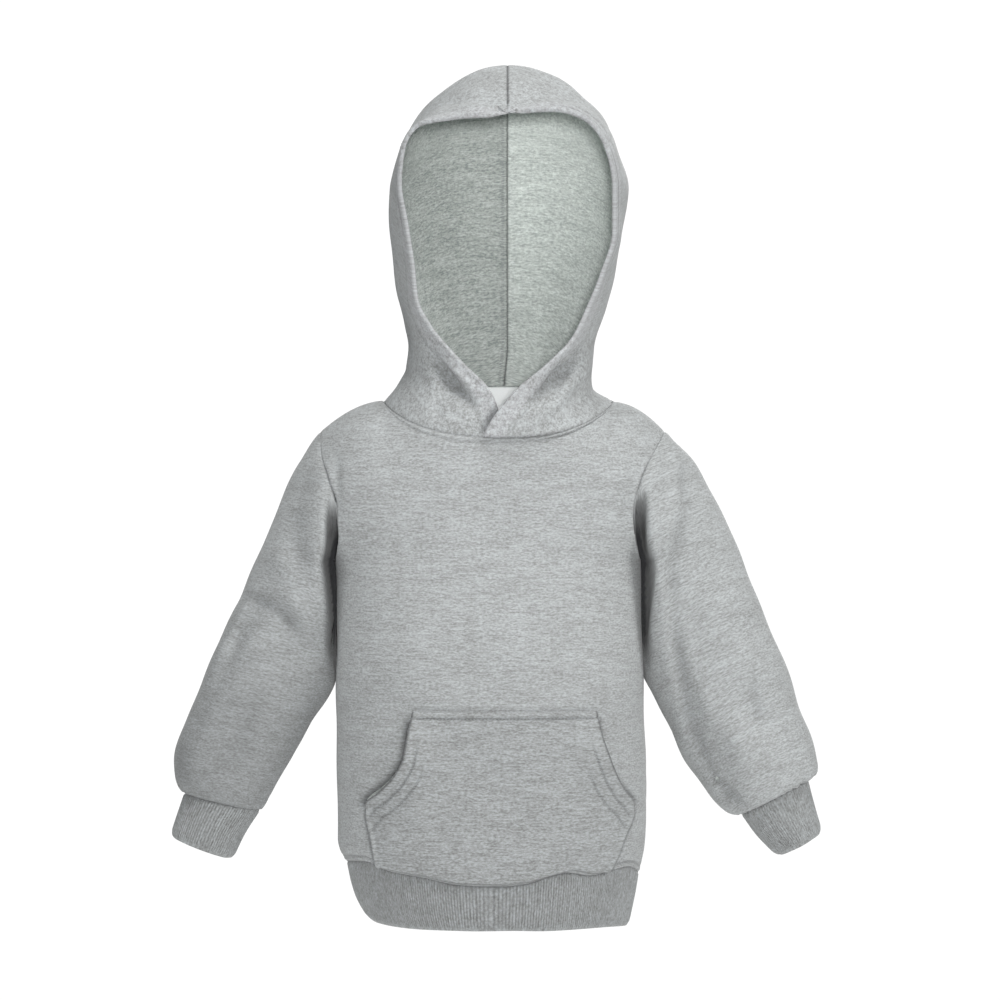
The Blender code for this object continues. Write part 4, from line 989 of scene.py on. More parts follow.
# sleeves
sleeveLook = dict(thickness=2.0, coarse=2.3, fine=0.8, reach=6.0, wave=0.7, waveLength=60.0,
                  topSeam=((0.0, 1.6, -0.9), (3.2, 2.0, 0.3)), cuffSeam=((0.0, 1.2, -1.3),),
                  underSeam=((0.0, 1.2, -0.8),), foldHeight=1.7, innerShare=0.6,
                  deepThin=0.75, seeds={"right": 31, "left": 37}, uvStart=500.0,
                  # where forms, folds and waves begin: from the armhole and from the cuff
                  holdShares=(0.12, 0.08), looseReach=(14.0, 8.0),
                  # painted shade that grows towards the cuff, strongest on the right sleeve, which
                  # turns away from the light
                  lowPaintedShade={"right": 0.34, "left": 0.04}, shadeRise=1.3,
                  # small gathers at the cuff seam, of uneven spacing and height
                  puckers=23, puckerHeight=1.0, puckerAt=3.5, puckerReach=11.0,
                  puckerSway=(0.45, 5.0), puckerRange=(0.6, 0.4, 3.0))
sleeveForms = {
    "right": ((0.44, 0.20, 0.30, 0.36, 13.0, -5.0), (0.46, 0.14, 0.36, 0.30, 10.0, 3.2),
              (0.28, 0.105, 0.76, 0.080, 4.0, 2.6), (0.30, 0.145, 0.72, 0.125, 6.0, -2.0),
              (0.60, 0.36, 0.92, 0.26, 12.0, -2.0),
              (0.16, 0.34, 0.34, 0.42, 11.0, -4.0), (0.40, 0.70, 0.62, 0.84, 14.0, -4.5),
              (0.72, 0.62, 0.94, 0.72, 12.0, 3.5)),
    "left": ((0.10, 0.30, 0.52, 0.36, 13.0, 4.0), (0.46, 0.33, 0.96, 0.36, 12.0, -6.0),
             (0.58, 0.22, 0.80, 0.16, 11.0, -3.5), (0.62, 0.27, 0.88, 0.26, 11.0, 3.0),
             (0.40, 0.66, 0.66, 0.80, 14.0, -4.5), (0.74, 0.60, 0.95, 0.70, 12.0, 3.5))}
sleeveFolds = {
    "right": (
        (-153.6, -56.8, -161.6, -86.4, 7, 9, -1.6), (-161.6, -86.4, -162.4, -108, 9, 9, -1.4),
        (-162.4, -108, -156, -140, 10, 8, -1.8), (-179.2, -112, -174.4, -139.2, 9, 10, 1.6),
        (-204.8, -156, -176.8, -168, 6, 6, -2.2), (-176.8, -168, -160.8, -187.2, 6, 5, -2.4),
        (-171.2, -156.8, -155.2, -172.8, 6, 6, 1.3), (-209.6, -178.4, -214.4, -204, 7, 8, -1.2),
        (-208.8, -161.6, -236, -255.2, 6, 7, 1.5), (-260, -275.2, -255.2, -304, 7, 7, -1.4),
        (-190.4, -232, -214.4, -288, 9, 10, -1),
    ),
    "left": (
        (139.2, -34.4, 142.4, -71.2, 5, 6, 1.8), (142.4, -71.2, 128.8, -133.6, 6, 7, 1.8),
        (128.8, -133.6, 136.8, -188.8, 7, 6, 1.6), (147.2, -56.8, 151.2, -88.8, 4, 5, -2),
        (151.2, -88.8, 137.6, -133.6, 5, 5, -2.2), (137.6, -133.6, 136.8, -168, 5, 5, -2.2),
        (136.8, -168, 149.6, -248.8, 5, 6, -2.6), (149.6, -248.8, 168.8, -299.2, 6, 5, -3),
        (168.8, -299.2, 194.4, -325.6, 4, 4, -2.6), (170.4, -303.2, 173.6, -307.2, 3, 3, -1.8),
        (177.6, -315.2, 181.6, -319.2, 3, 3, -1.8), (203.2, -223.2, 203.2, -240.8, 4, 4, -1),
        (203.2, -240.8, 208, -259.2, 4, 4, -1.2), (161.6, -232, 172.8, -275.2, 6, 7, 1.6),
    ),
}
sleeveBackFolds = {
    "right": (
        (-160, -80, -185.6, -112, 8, 9, -2), (-180, -128, -212, -160, 7, 8, -2.4),
        (-190.4, -152, -220, -192, 7, 7, 1.6), (-208, -224, -236, -264, 8, 8, -1.8),
        (-160, -192, -192, -264, 8, 9, 1.2),
    ),
    "left": (
        (160, -80, 188, -118.4, 8, 9, -2), (177.6, -128, 209.6, -168, 7, 8, -2.2),
        (187.2, -156.8, 217.6, -201.6, 7, 7, 1.6), (201.6, -232, 232, -273.6, 8, 8, -1.6),
        (152, -192, 180.8, -272, 8, 9, 1.2),
    ),
}


# the deep fold beside the body: how far back it goes and its half width, its way from the body's
# side low down and what is added high up, the heights at which it widens, starts and ends, each
# with the reach of the change, and how dark the painted shade in the fold is, how wide and how
# far behind it reaches
armpit = dict(backY=9.0, width=2.2, lowAway=2.8, highAway=3.0, turnZ=(-178.0, 56.0),
              topZ={"right": (-80.0, 34.0), "left": (-70.0, 40.0)}, bottomZ=(-226.0, 40.0),
              seamReach=3.0, dark=0.985, paintedShadeWidth=2.9, paintedShadeBehind=25.0)


def armpitPull(side, points, along):
    # how far the front of a sleeve lies back in the deep fold beside the body, and the painted
    # shade that stands for the shadow in it
    y, z = points[..., 1], points[..., 2]
    edge = np.where(z < body["underarmZ"], getattr(torso(z), side), getattr(armhole(z), side))
    beside = np.abs(points[..., 0] - body["x"]) - edge
    high = smoothStep((z - armpit["turnZ"][0]) / armpit["turnZ"][1])
    middle = armpit["lowAway"] + armpit["highAway"] * high
    highest, fade = armpit["topZ"][side]
    openShare = smoothStep((highest - z) / fade)
    openShare = openShare * smoothStep((z - armpit["bottomZ"][0]) / armpit["bottomZ"][1])
    outside = np.maximum(beside - middle, 0.0)
    pull = np.maximum(armpit["backY"] - y, 0.0) * bell(outside, armpit["width"]) * openShare
    pull = pull * smoothStep(along / armpit["seamReach"])
    facing = y < armpit["backY"] + armpit["paintedShadeBehind"]
    deep = bell(outside, armpit["paintedShadeWidth"]) * openShare * facing
    return pull, armpit["dark"] * deep


def makeSleeve(name, side):
    look = sleeveLook
    share = gridSteps(arm["length"], (0.0, arm["length"]), look)
    columns = int(arm["girth"] / look["coarse"])
    turn = 0.5 + np.arange(columns) / columns
    turn, share = np.meshgrid(turn, share)
    around = np.mod(turn, 1.0)
    points = sleeveSurface(side, around, share)
    normals = outwardTube(points)
    topHold, endHold = look["holdShares"]
    hold = smoothStep(share / topHold) * smoothStep((1.0 - share) / endHold)
    forms = layForms(sleeveForms[side], share, around, arm["length"], arm["girth"])
    points = lift(points, normals, forms * hold)
    pull, deep = armpitPull(side, points, runLengths(points, 0))
    points[..., 1] += pull
    normals = outwardTube(points)
    along = runLengths(points, 0)
    fromCuff = along[-1:] - along
    fromUnder = np.minimum(turn - 0.5, 1.5 - turn) * arm["girth"]
    seams = seamProfile(along, look["topSeam"]) * seamFade(points[..., 2])
    seams += seamProfile(fromCuff, look["cuffSeam"]) + seamProfile(fromUnder, look["underSeam"])
    topReach, endReach = look["looseReach"]
    loose = smoothStep(along / topReach) * smoothStep(fromCuff / endReach)
    folds = layFolds(sleeveFolds[side], points, normals, -1)
    folds += layFolds(sleeveBackFolds[side], points, normals, 1)
    folds *= loose * look["foldHeight"]
    relief = seams + folds
    x, z = seenFrom(points, -1)
    seed = look["seeds"][side]
    waves = softWaves(x, z + 0.6 * points[..., 1], seed, look["waveLength"], look["wave"])
    relief += waves * loose
    sway, sways = look["puckerSway"]
    least, more, times = look["puckerRange"]
    swing = turn * look["puckers"] + sway * np.sin(2 * math.pi * (turn * sways + seed))
    pucker = np.sin(2 * math.pi * swing)
    pucker = pucker * (least + more * np.sin(2 * math.pi * turn * times + seed))
    near = bell(fromCuff - look["puckerAt"], look["puckerReach"]) * smoothStep(fromCuff / 2.5)
    relief += look["puckerHeight"] * pucker * near
    # painted shade: in troughs, towards the cuff, in the seams' dents and in the fold by the body
    shade = foldShade(folds) + look["lowPaintedShade"][side] * smoothStep(share * look["shadeRise"])
    shade = np.maximum(np.maximum(grooveShade(seams), shade), deep)
    outer = lift(points, normals, relief)
    wall = look["thickness"] * (1.0 - look["deepThin"] * deep)
    inner = lift(points, normals, relief * look["innerShare"] - wall)
    uv = np.stack([(turn - 0.5) * arm["girth"], fromCuff + look["uvStart"]], axis=-1)
    return makeShell(name, outer, inner, uv, (fleeceOut, fleeceIn), period=arm["girth"],
                     marks=dict(paintedShade=(shade, deep)))


for name, side in (("sleeveRight", "right"), ("sleeveLeft", "left")):
    piece = makeSleeve(name, side)
    dress(piece, "sleeve_" + side)
print("sleeves ready")

# ribbed cuffs and hem band: sizes that they share. A drop is how much and over what length the
# edge falls at the seam and at the folded end, and ribs flatten there too.
ribLook = dict(pointsToRib=6, ribHeight=0.6, crest=0.8, edgeDrop=0.8, seamDrop=(1.0, 1.6),
               endDrop=(0.6, 2.5), seamFlat=(0.8, 1.5), endFlat=3.0, uvStart=700.0)


def ribGroup():
    # raises the ribs of a knit tube: they run along it, rounded, with narrow grooves between
    group, source = startGroup("raisedRibs", (("Ribs", "Float"), ("Rib height", "Float"),
                                              ("Crest", "Float"), ("Knit", "Material")))
    nodes, links = group.nodes, group.links

    def maths(operation, first, second=None):
        node = nodes.new("ShaderNodeMath")
        node.operation = operation
        for target, value in enumerate((first, second)):
            if isinstance(value, bpy.types.NodeSocket):
                links.new(value, node.inputs[target])
            elif value is not None:
                node.inputs[target].default_value = value
        return node.outputs[0]

    def mark(name):
        node = nodes.new("GeometryNodeInputNamedAttribute")
        node.data_type = "FLOAT"
        node.inputs["Name"].default_value = name
        return node.outputs["Attribute"]

    phase = maths("MULTIPLY", maths("MULTIPLY", mark("turn"), source.outputs["Ribs"]), math.pi)
    crest = maths("POWER", maths("ABSOLUTE", maths("COSINE", phase)), source.outputs["Crest"])
    height = maths("MULTIPLY", maths("MULTIPLY", crest, source.outputs["Rib height"]),
                   mark("raised"))
    scaled = nodes.new("ShaderNodeVectorMath")
    scaled.operation = "SCALE"
    links.new(nodes.new("GeometryNodeInputNormal").outputs[0], scaled.inputs[0])
    links.new(height, scaled.inputs["Scale"])
    move = nodes.new("GeometryNodeSetPosition")
    links.new(source.outputs["Geometry"], move.inputs["Geometry"])
    links.new(scaled.outputs[0], move.inputs["Offset"])
    return endGroup(group, move.outputs[0], source.outputs["Knit"])


ribs = ribGroup()


def makeRibTube(name, points, turn, relief, look, ribPaintedShade):
    # a folded double rib: raised ribs outside, a plain face inside, a round fold at its open end
    normals = outwardTube(points)
    along = runLengths(points, 0)
    fromEnd = along[-1:] - along
    flat, flatReach = ribLook["seamFlat"]
    raised = smoothStep(fromEnd / ribLook["endFlat"]) * (1.0 - flat * bell(along, flatReach))
    (seam, seamReach), (end, endReach) = ribLook["seamDrop"], ribLook["endDrop"]
    drop = seam * bell(along, seamReach) + end * bell(fromEnd, endReach)
    shape = -ribLook["edgeDrop"] * drop + relief
    outer = lift(points, normals, shape)
    inner = lift(points, normals, shape - look["thickness"])
    girth = runLengths(points, 1)[:, -1].mean()
    uv = np.stack([turn * girth, along + ribLook["uvStart"]], axis=-1)
    # painted shade in the grooves between the ribs
    between = 1.0 - np.abs(np.cos(math.pi * turn * look["ribs"]))
    piece = makeShell(name, outer, inner, uv, (ribOut,), period=girth, roundRims=("last",),
                      inside=np.zeros((len(points) - 1, points.shape[1]), int),
                      marks=dict(turn=turn, raised=raised,
                                 paintedShade=ribPaintedShade * between * raised))
    return runGroup(piece, ribs, {"Ribs": float(look["ribs"]), "Knit": ribOut,
                                  "Rib height": ribLook["ribHeight"] * mm,
                                  "Crest": ribLook["crest"]})


def ribGrid(look):
    # turn and share of each point of a rib tube
    columns = look["ribs"] * ribLook["pointsToRib"]
    return np.meshgrid(np.arange(columns) / columns, np.linspace(0, 1, look["rows"]))


# the last entry is how dark the painted shade between the ribs is
hemLook = dict(ribs=340, rows=16, thickness=3.0, wave=0.8, waves=9, sway=(0.3, 4), gap=0.8,
               ribPaintedShade=0.38)


def makeHem(name):
    turn, share = ribGrid(hemLook)
    angle = (turn + 0.5) * 2 * math.pi
    degrees = np.degrees(np.arctan2(np.sin(angle), np.cos(angle)))
    size, power = hemBand(share), 2 / body["roundness"]
    halfWidth = np.where(np.sin(angle) < 0, size.right, size.left)
    depth = np.where(np.cos(angle) > 0, size.front, size.back)
    top, edge = hemSeam(degrees).height + hemLook["gap"], hemEdge(degrees).height
    points = np.stack([body["x"] + halfWidth * signedPower(np.sin(angle), power),
                       -depth * signedPower(np.cos(angle), power),
                       top + (edge - top) * share], axis=-1)
    sway, sways = hemLook["sway"]
    swing = turn * hemLook["waves"] + sway * np.sin(2 * math.pi * turn * sways)
    swing = np.sin(2 * math.pi * swing)
    relief = hemLook["wave"] * swing * share * (0.5 + 0.5 * np.sin(2 * math.pi * turn * 2))
    return makeRibTube(name, points, turn, relief, hemLook, hemLook["ribPaintedShade"])


# the last entry is how dark the painted shade between the ribs is, darker on the right cuff, which
# gets less light
cuffLook = dict(ribs=84, rows=22, thickness=2.5, wave=0.5, waves=7, overSeam=0.8,
                ribPaintedShade={"right": 0.42, "left": 0.16})


def makeCuff(name, side):
    turn, share = ribGrid(cuffLook)
    points = sectionPoint(cuffSections[side], side, np.mod(turn + 0.5, 1.0), share)
    points[0] += (points[0] - points[1]) * cuffLook["overSeam"]
    relief = cuffLook["wave"] * np.sin(2 * math.pi * turn * cuffLook["waves"]) * share
    return makeRibTube(name, points, turn, relief, cuffLook, cuffLook["ribPaintedShade"][side])


dress(makeHem("hemBand"), "hem_band")
for name, side in (("cuffRight", "right"), ("cuffLeft", "left")):
    dress(makeCuff(name, side), "cuff_" + side)
print("ribs ready")

# hood, from the turned edge of its opening to the pressed seam in its middle
hoodLook = dict(thickness=2.0, length=330.0, width=240.0, formWidth=250.0, coarse=2.4, fine=0.8,
                reach=5.0, wave=0.6, waveLength=60.0, seeds={"right": 51, "left": 57},
                foldHeight=2.0, innerShare=0.8, lastRow=0.9995, hemLine=17.0,
                # where forms, folds and waves begin: from the neck, the opening and the middle
                holdShares=(0.06, 0.05, 0.08), outV=0.15, foldReach=6.0,
                looseReach=(10.0, 14.0, 14.0),
                neckSeam=((0.0, 1.2, -1.0),), middleSeam=((0.0, 0.9, -0.5), (3.0, 1.8, 0.15)),
                edgeRows=((15.5, 0.8, -0.3), (1.5, 2.0, 0.25)), hemRow=15.5,
                # the turned edge, the seam's allowance and its overlock, by width and height
                hemWidth=17.5, hemExtra=1.6, rimWidth=11.0, allowance=(5.0, 1.0),
                overlockIn=1.2, rowsStop=36.0,
                # thin walls where many folds meet: at the opening's top and at the shoulders
                thinnest=0.4, seamDent=1.3, cornerReach=16.0, shoulderThin=(0.8, 12.0),
                # painted shade in the seam's dent, a dark line beside the opening, a dark line
                # inside and
                # painted shade low down inside: a line is way from the edge, half width, how dark,
                # and where it starts and ends
                seamPaintedShade=0.85, edgeLine=(5.5, 0.7, 0.55),
                edgeLineV={"right": (0.5, 0.8), "left": (0.34, 0.95)},
                insideLine=(3.2, 0.9, 0.7), lowInsidePaintedShade=0.2, lowZ=(20.0, 150.0),
                # where the marks of the knit keep their size: from here up and from there down
                crownFrom=(0.6, 0.16), neckUntil=(0.24, 0.14))
hoodForms = {
    "right": ((0.19, 0.10, 0.05, 0.16, 9.0, -3.5), (0.16, 0.34, 0.06, 0.46, 11.0, -1.0),
              (0.15, 0.72, 0.05, 0.66, 11.0, -3.5)),
    "left": ((0.26, 0.14, 0.06, 0.17, 9.0, -3.5), (0.16, 0.36, 0.06, 0.46, 11.0, -1.0),
             (0.16, 0.74, 0.06, 0.64, 11.0, -3.5))}
hoodFolds = {
    "right": (
        (-56.0, 36, -22, -5.0, 5.0, 4.6, -3.0), (-45, 34, -17, 2.8, 4, 4, 1.3),
        (-50.4, 0, -48, -16, 3, 3, -0.7), (-65.6, 48, -48, 6.4, 6, 6, 0.7),
        (0.5, -4, -12, -29, 4.5, 5.5, -3.0),
    ),
    "left": (
        (65.6, 38.4, 25.6, -0.8, 5.0, 4.6, -3.4), (73.6, 30, 38, -10, 4.5, 4, 1.3),
        (48, -3.2, 24, -16, 5, 5, 0.5), (78.4, 56, 72, 6.4, 6, 7, 0.6),
    ),
}
hoodBackFolds = {
    "right": (
        (-56, 56, -24, 6.4, 7, 7, -1.6), (-70.4, 128, -48, 56, 10, 12, -0.9),
        (-40, 216, -24, 144, 12, 14, 0.8),
    ),
    "left": (
        (56, 56, 24, 6.4, 7, 7, -1.6), (72, 128, 49.6, 56, 10, 12, -0.9),
        (41.6, 216, 28, 144, 12, 14, 0.8),
    ),
}


def makeHood(name, side):
    look = hoodLook
    v = gridSteps(look["length"], (0.0,), look) * look["lastRow"]
    u = gridSteps(look["width"], (0.0, look["hemLine"], look["width"]), look)
    u, v = np.meshgrid(u, v)
    points = hoodSurface(side, u, v)
    turned = sideSign(side)
    normals = gridNormals(points, False) * turned
    fromNeck, fromOpening, toMiddle = look["holdShares"]
    hold = smoothStep(v / fromNeck) * smoothStep(u / fromOpening)
    hold = hold * smoothStep((1.0 - u) / toMiddle)
    forms = layForms(hoodForms[side], v, u, look["length"], look["formWidth"]) * hold
    points = lift(points, normals, forms + look["thickness"] * smoothStep(v / look["outV"]))
    # in the middle both halves face straight ahead, so that they meet
    normals = gridNormals(points, False) * turned
    normals[:, -1, 0] = 0.0
    normals /= np.maximum(np.linalg.norm(normals, axis=-1, keepdims=True), 1e-9)
    across, along = runLengths(points, 1), runLengths(points, 0)
    fromEdge, fromMiddle = wayTo(points, points[:, 0]), wayTo(points, points[:, -1])
    seams = seamProfile(along, look["neckSeam"]) + seamProfile(fromMiddle, look["middleSeam"])
    seams += seamProfile(fromEdge, look["edgeRows"]) * smoothStep(along / 8.0)
    neckReach, edgeReach, middleReach = look["looseReach"]
    loose = smoothStep(along / neckReach) * smoothStep(fromEdge / edgeReach)
    loose = loose * smoothStep(fromMiddle / middleReach)
    x, z = seenFrom(points, -1)
    waves = softWaves(x + points[..., 1], z, look["seeds"][side], look["waveLength"],
                      look["wave"])
    folds = layFolds(hoodFolds[side], points, normals, -1)
    folds += layFolds(hoodBackFolds[side], points, normals, 1)
    folds *= smoothStep(along / look["foldReach"]) * look["foldHeight"]
    relief = waves * loose + (seams + folds)
    # the wall: double in the turned edge, and with the pressed allowance on the right half
    inHem = 1.0 - smoothStep((fromEdge - look["hemWidth"]) / 1.2 + 0.5)
    thickness = look["thickness"] + look["hemExtra"] * inHem
    if side == "right":
        width, height = look["allowance"]
        thickness = thickness + height * (1.0 - smoothStep(fromMiddle - width + 0.5))
    dent = look["seamDent"] * bell(fromMiddle, 0.9)
    fromCorner = np.linalg.norm(points - points[-1:, :1], axis=-1)
    whole = smoothStep(fromCorner / look["cornerReach"])
    relief, dent = relief * whole, dent * whole
    thickness = look["thinnest"] + (thickness - dent - look["thinnest"]) * whole
    shoulder = points[0, np.argmax(points[0, :, 0] * turned)]
    thinShare, thinReach = look["shoulderThin"]
    thickness *= 1.0 - thinShare * bell(np.linalg.norm(points - shoulder, axis=-1), thinReach)
    # painted shade inside: in the seam's dent, below the step of the turned edge and, on the left,
    # a dark line and painted shade low down
    bandStepShadow = 0.9 * bell(fromEdge - look["hemWidth"] - 0.8, 0.9) * smoothStep(along / 12.0)
    shade = np.maximum(dent * 0.4, bandStepShadow * 0.8)
    if side == "left":
        lowFrom, lowOver = look["lowZ"]
        low = 1.0 - smoothStep((points[..., 2] - lowFrom) / lowOver)
        at, width, strength = look["insideLine"]
        line = strength * bell(fromEdge - at, width) * smoothStep((v - 0.4) * 10.0)
        shade = np.maximum(shade, line) + look["lowInsidePaintedShade"] * low
    # painted shade outside, in the seams' dents and the troughs between folds, and a thin dark line
    # where the turned edge begins
    dark = np.maximum(grooveShade(seams), look["seamPaintedShade"] * bell(fromMiddle, 1.0)) * whole
    (low, high), (at, width, strength) = look["edgeLineV"][side], look["edgeLine"]
    onEdge = smoothStep((v - low) * 14.0) * smoothStep((high - v) * 14.0)
    dark = np.maximum(dark, strength * bell(fromEdge - at, width) * onEdge)
    dark = np.maximum(dark, foldShade(folds) * 1.2)
    crown = smoothStep((v - look["crownFrom"][0]) / look["crownFrom"][1])
    around = 1.0 - smoothStep((v - look["neckUntil"][0]) / look["neckUntil"][1])
    marks = dict(paintedShade=(dark, shade * whole), crown=(np.maximum(crown, around), crown))
    outer = lift(points, normals, relief)
    inner = lift(points, normals, relief * look["innerShare"] - thickness)
    uv = np.stack([across * turned, points[..., 2] - 0.5 * points[..., 1]], axis=-1)
    inBand = fromEdge[:-1, :-1] < look["hemWidth"] - 0.4
    onRim = fromEdge[:-1, :-1] < look["rimWidth"]
    inside = litInsideRight if side == "right" else litInsideLeft
    piece = makeShell(name, outer, inner, uv, (fleeceOut, inside, fleeceHem),
                      inside=np.where(inBand, 2, 1), outside=np.where(onRim, 2, 0),
                      roundRims=("left",), marks=marks)
    # the rows of sewing stop short of the neck and of the opening's top
    flipped = (1, 0, 2)
    high = slice(4, int(np.argmax(fromCorner[:, 0] < look["rowsStop"])))
    rowPath = pathWhere(outer.transpose(flipped)[:, high], normals.transpose(flipped)[:, high],
                        fromEdge.T[:, high], look["hemRow"])
    sewing = [sew(name + "Hem", [rowPath])]
    if side == "right":
        loops = pathWhere(inner.transpose(flipped)[:, high],
                          -normals.transpose(flipped)[:, high], fromMiddle.T[:, high],
                          look["allowance"][0] - look["overlockIn"])
        sewing.append(sew(name + "Overlock", [loops], loopLook))
    return piece, sewing


for name, side in (("hoodRight", "right"), ("hoodLeft", "left")):
    piece, sewing = makeHood(name, side)
    dress(piece, "hood_" + side, sewing)
print("hood ready")

# kangaroo pocket
pocketLook = dict(thickness=2.0, width=205.0, height=138.0, coarse=1.7, fine=0.7, reach=11.0,
                  downReach=6.0, sideBand=14.0, standOff=0.4, gape=8.5,
                  gapeZ=(-246.0, pocketCornerZ), gapeReach=24.0, slack=1.2, lowestZ=-384.0,
                  aboveSeam=2.5, wave=0.35, waveLength=45.0, seed=71, innerShare=0.5,
                  innerMost=0.3, edgeWidth=0.8,
                  # above and below the corner: where seams of the two parts end, and the fade
                  upperFade=(2.0, 6.0), lowerFade=(4.0, 5.0),
                  topSeam=((0.0, 0.8, -0.7), (1.5, 0.6, -0.4), (4.2, 1.4, 0.5), (7.0, 0.8, -0.9)),
                  openingEdge=((2.0, 2.4, 0.4),),
                  # way from the opening, half width and height, and where the row fades out; the
                  # rows run on past the corner to the sewn sides
                  rowOn=6.0, rowsEndZ=-345.0,
                  openingRows=((8.0, 0.8, -0.9, (-262.0, 20.0)), (16.0, 0.8, -0.9, (-286.0, 14.0))),
                  # the sewn sides' seam, and how dark the painted shade along the pocket's edges is
                  sideSeam=((0.0, 1.2, -1.8), (2.7, 1.4, 1.4)), edgePaintedShade=0.6,
                  footSeam=((0.0, 1.2, -1.2),), topRows=(1.5, 7.0))
pocketFolds = (
    (-44, -270.4, -42.4, -340.8, 11, 12, -1), (-70.4, -296, -69.6, -350.4, 7, 8, 0.9),
    (-96, -366.4, -16, -377.6, 6, 6, -0.9), (-16, -377.6, 48, -369.6, 6, 6, -0.9),
    (0, -273.6, 32, -320, 14, 16, 0.5), (60, -320, 78.4, -360, 9, 10, 0.6),
)


def onFront(x, z, away):
    # points of the front panel's outer face, moved out, and their normals
    step, face = 0.5, np.full_like(x, -1.0)
    here = np.stack([x, torsoY(face, x, z), z], axis=-1)
    aside = np.stack([x + step, torsoY(face, x + step, z), z], axis=-1)
    above = np.stack([x, torsoY(face, x, z + step), z + step], axis=-1)
    normal = np.cross(aside - here, above - here)
    normal = normal / np.linalg.norm(normal, axis=-1, keepdims=True)
    return here + normal * away[..., None], normal


def makePocket(name):
    look, band = pocketLook, pocketLook["sideBand"]
    down = gridSteps(look["height"], (0.0, look["topRows"][1], look["height"]),
                     dict(look, reach=look["downReach"]))
    spots = (0.0, band, look["width"] - band, look["width"])
    u, v = np.meshgrid(gridSteps(look["width"], spots, look) * 2 - 1, down)
    foot = pocketEdges(pocketFootZ)
    footX = foot.right * (1 - u) / 2 + foot.left * (1 + u) / 2
    footZ = hemSeam(frontAngle(footX, torso(body["hemZ"]))).height + look["aboveSeam"]
    z = pocketTopZ + (footZ - pocketTopZ) * v
    fromTop = pocketTopZ - z
    edges = pocketEdges(z)
    x = edges.right * (1 - u) / 2 + edges.left * (1 + u) / 2
    fromEdge = (1.0 - np.abs(u)) * (edges.left - edges.right) / 2
    top, bottom = look["gapeZ"]
    along = np.clip((top - z) / (top - bottom), 0.0, 1.0)
    gape = look["gape"] * np.sin(math.pi * along) * bell(fromEdge, look["gapeReach"])
    slack = look["slack"] * np.sin(math.pi * v) * (1 - u**2)

    def toEdges(lineZ, goOn=0.0):
        # shortest way to both side edges between two heights, or on past their lower ends
        line, ways = pocketEdges(lineZ), []
        for lineX in (line.right, line.left):
            onX, onZ = lineX, lineZ
            if goOn:
                onX = np.append(lineX, lineX[-1] + (lineX[-1] - lineX[-3]) * goOn)
                onZ = np.append(lineZ, lineZ[-1] + (lineZ[-1] - lineZ[-3]) * goOn)
            ways.append(distanceTo(x, z, onX, onZ))
        return np.minimum(*ways)

    upperZ = np.linspace(pocketTopZ, pocketCornerZ, 40)
    opening, rowWay = toEdges(upperZ), toEdges(upperZ, look["rowOn"])
    sewn = toEdges(np.linspace(pocketCornerZ, look["lowestZ"], 30))
    (upperOver, upperFade), (lowerOver, lowerFade) = look["upperFade"], look["lowerFade"]
    inUpper = smoothStep((z - pocketCornerZ + upperOver) / upperFade)
    inLower = 1.0 - smoothStep((z - pocketCornerZ + lowerOver) / lowerFade)
    seams = seamProfile(fromTop, look["topSeam"])
    seams += seamProfile(opening, look["openingEdge"]) * inUpper
    for at, width, height, (highest, fade) in look["openingRows"]:
        seams += height * bell(rowWay - at, width) * smoothStep((highest - z) / fade)
    seams += seamProfile(sewn, look["sideSeam"]) * inLower
    seams += seamProfile(z - footZ, look["footSeam"])
    # painted shade in a thin line along the opening and the sewn sides
    dark = look["edgePaintedShade"] * bell(np.minimum(opening, sewn), look["edgeWidth"])
    dark = dark * smoothStep(fromTop / 3.0)
    points, normals = onFront(x, z, look["thickness"] + look["standOff"] + gape + slack)
    relief = seams + layFolds(pocketFolds, points, normals, -1) * smoothStep(v * 12.0)
    waves = softWaves(x, z, look["seed"], look["waveLength"], look["wave"])
    relief += waves * smoothStep(v * 10.0) * smoothStep((1 - v) * 10.0)
    outer = lift(points, normals, relief)
    pressed = np.minimum(relief, look["innerMost"]) * look["innerShare"]
    inner = lift(points, normals, pressed - look["thickness"])
    uv = np.stack([x, z], axis=-1)
    piece = makeShell(name, outer, inner, uv, (shadedPocketMarl, shadedPocketMarl),
                      roundRims=("left", "right"),
                      marks=dict(paintedShade=np.maximum(grooveShade(seams), dark)))
    paths = [pathWhere(outer, normals, fromTop, at) for at in look["topRows"]]
    half = z.shape[1] // 2
    flipped = (1, 0, 2)
    for at, _, _, (highest, _) in look["openingRows"]:
        upper = (z[:, 0] > look["rowsEndZ"]) & (z[:, 0] <= highest)
        for part in (slice(0, half), slice(half, None)):
            paths.append(pathWhere(outer[upper, part].transpose(flipped),
                                   normals[upper, part].transpose(flipped),
                                   rowWay[upper, part].T, at))
    return piece, sew(name + "Sewing", paths)


piece, sewing = makePocket("pocketPiece")
dress(piece, "pocket", [sewing])

# bare label in the back of the neck, which leans forward at its lower end
labelLook = dict(x=3.0, width=34.0, topZ=12.5, length=42.0, thickness=0.9, standOff=0.6,
                 lean=0.8)


def makeLabel(name):
    look = labelLook
    u, v = np.meshgrid(np.linspace(-0.5, 0.5, 28), np.linspace(0.0, 1.0, 34))
    x, z = look["x"] + look["width"] * u, look["topZ"] - look["length"] * v
    lean = look["lean"] * smoothStep(v) * (0.6 + u)
    y = torsoY(1, x, z) - bodyLook["thickness"] - look["standOff"] - lean
    outer = np.stack([x, y, z], axis=-1)
    inner = outer - np.array([0.0, look["thickness"], 0.0])
    uv = np.stack([x, z], axis=-1)
    return makeShell(name, outer, inner, uv, (tapeOut, tapeOut))


dress(makeLabel("neckLabel"), "neck_label")
print("pocket and label ready")

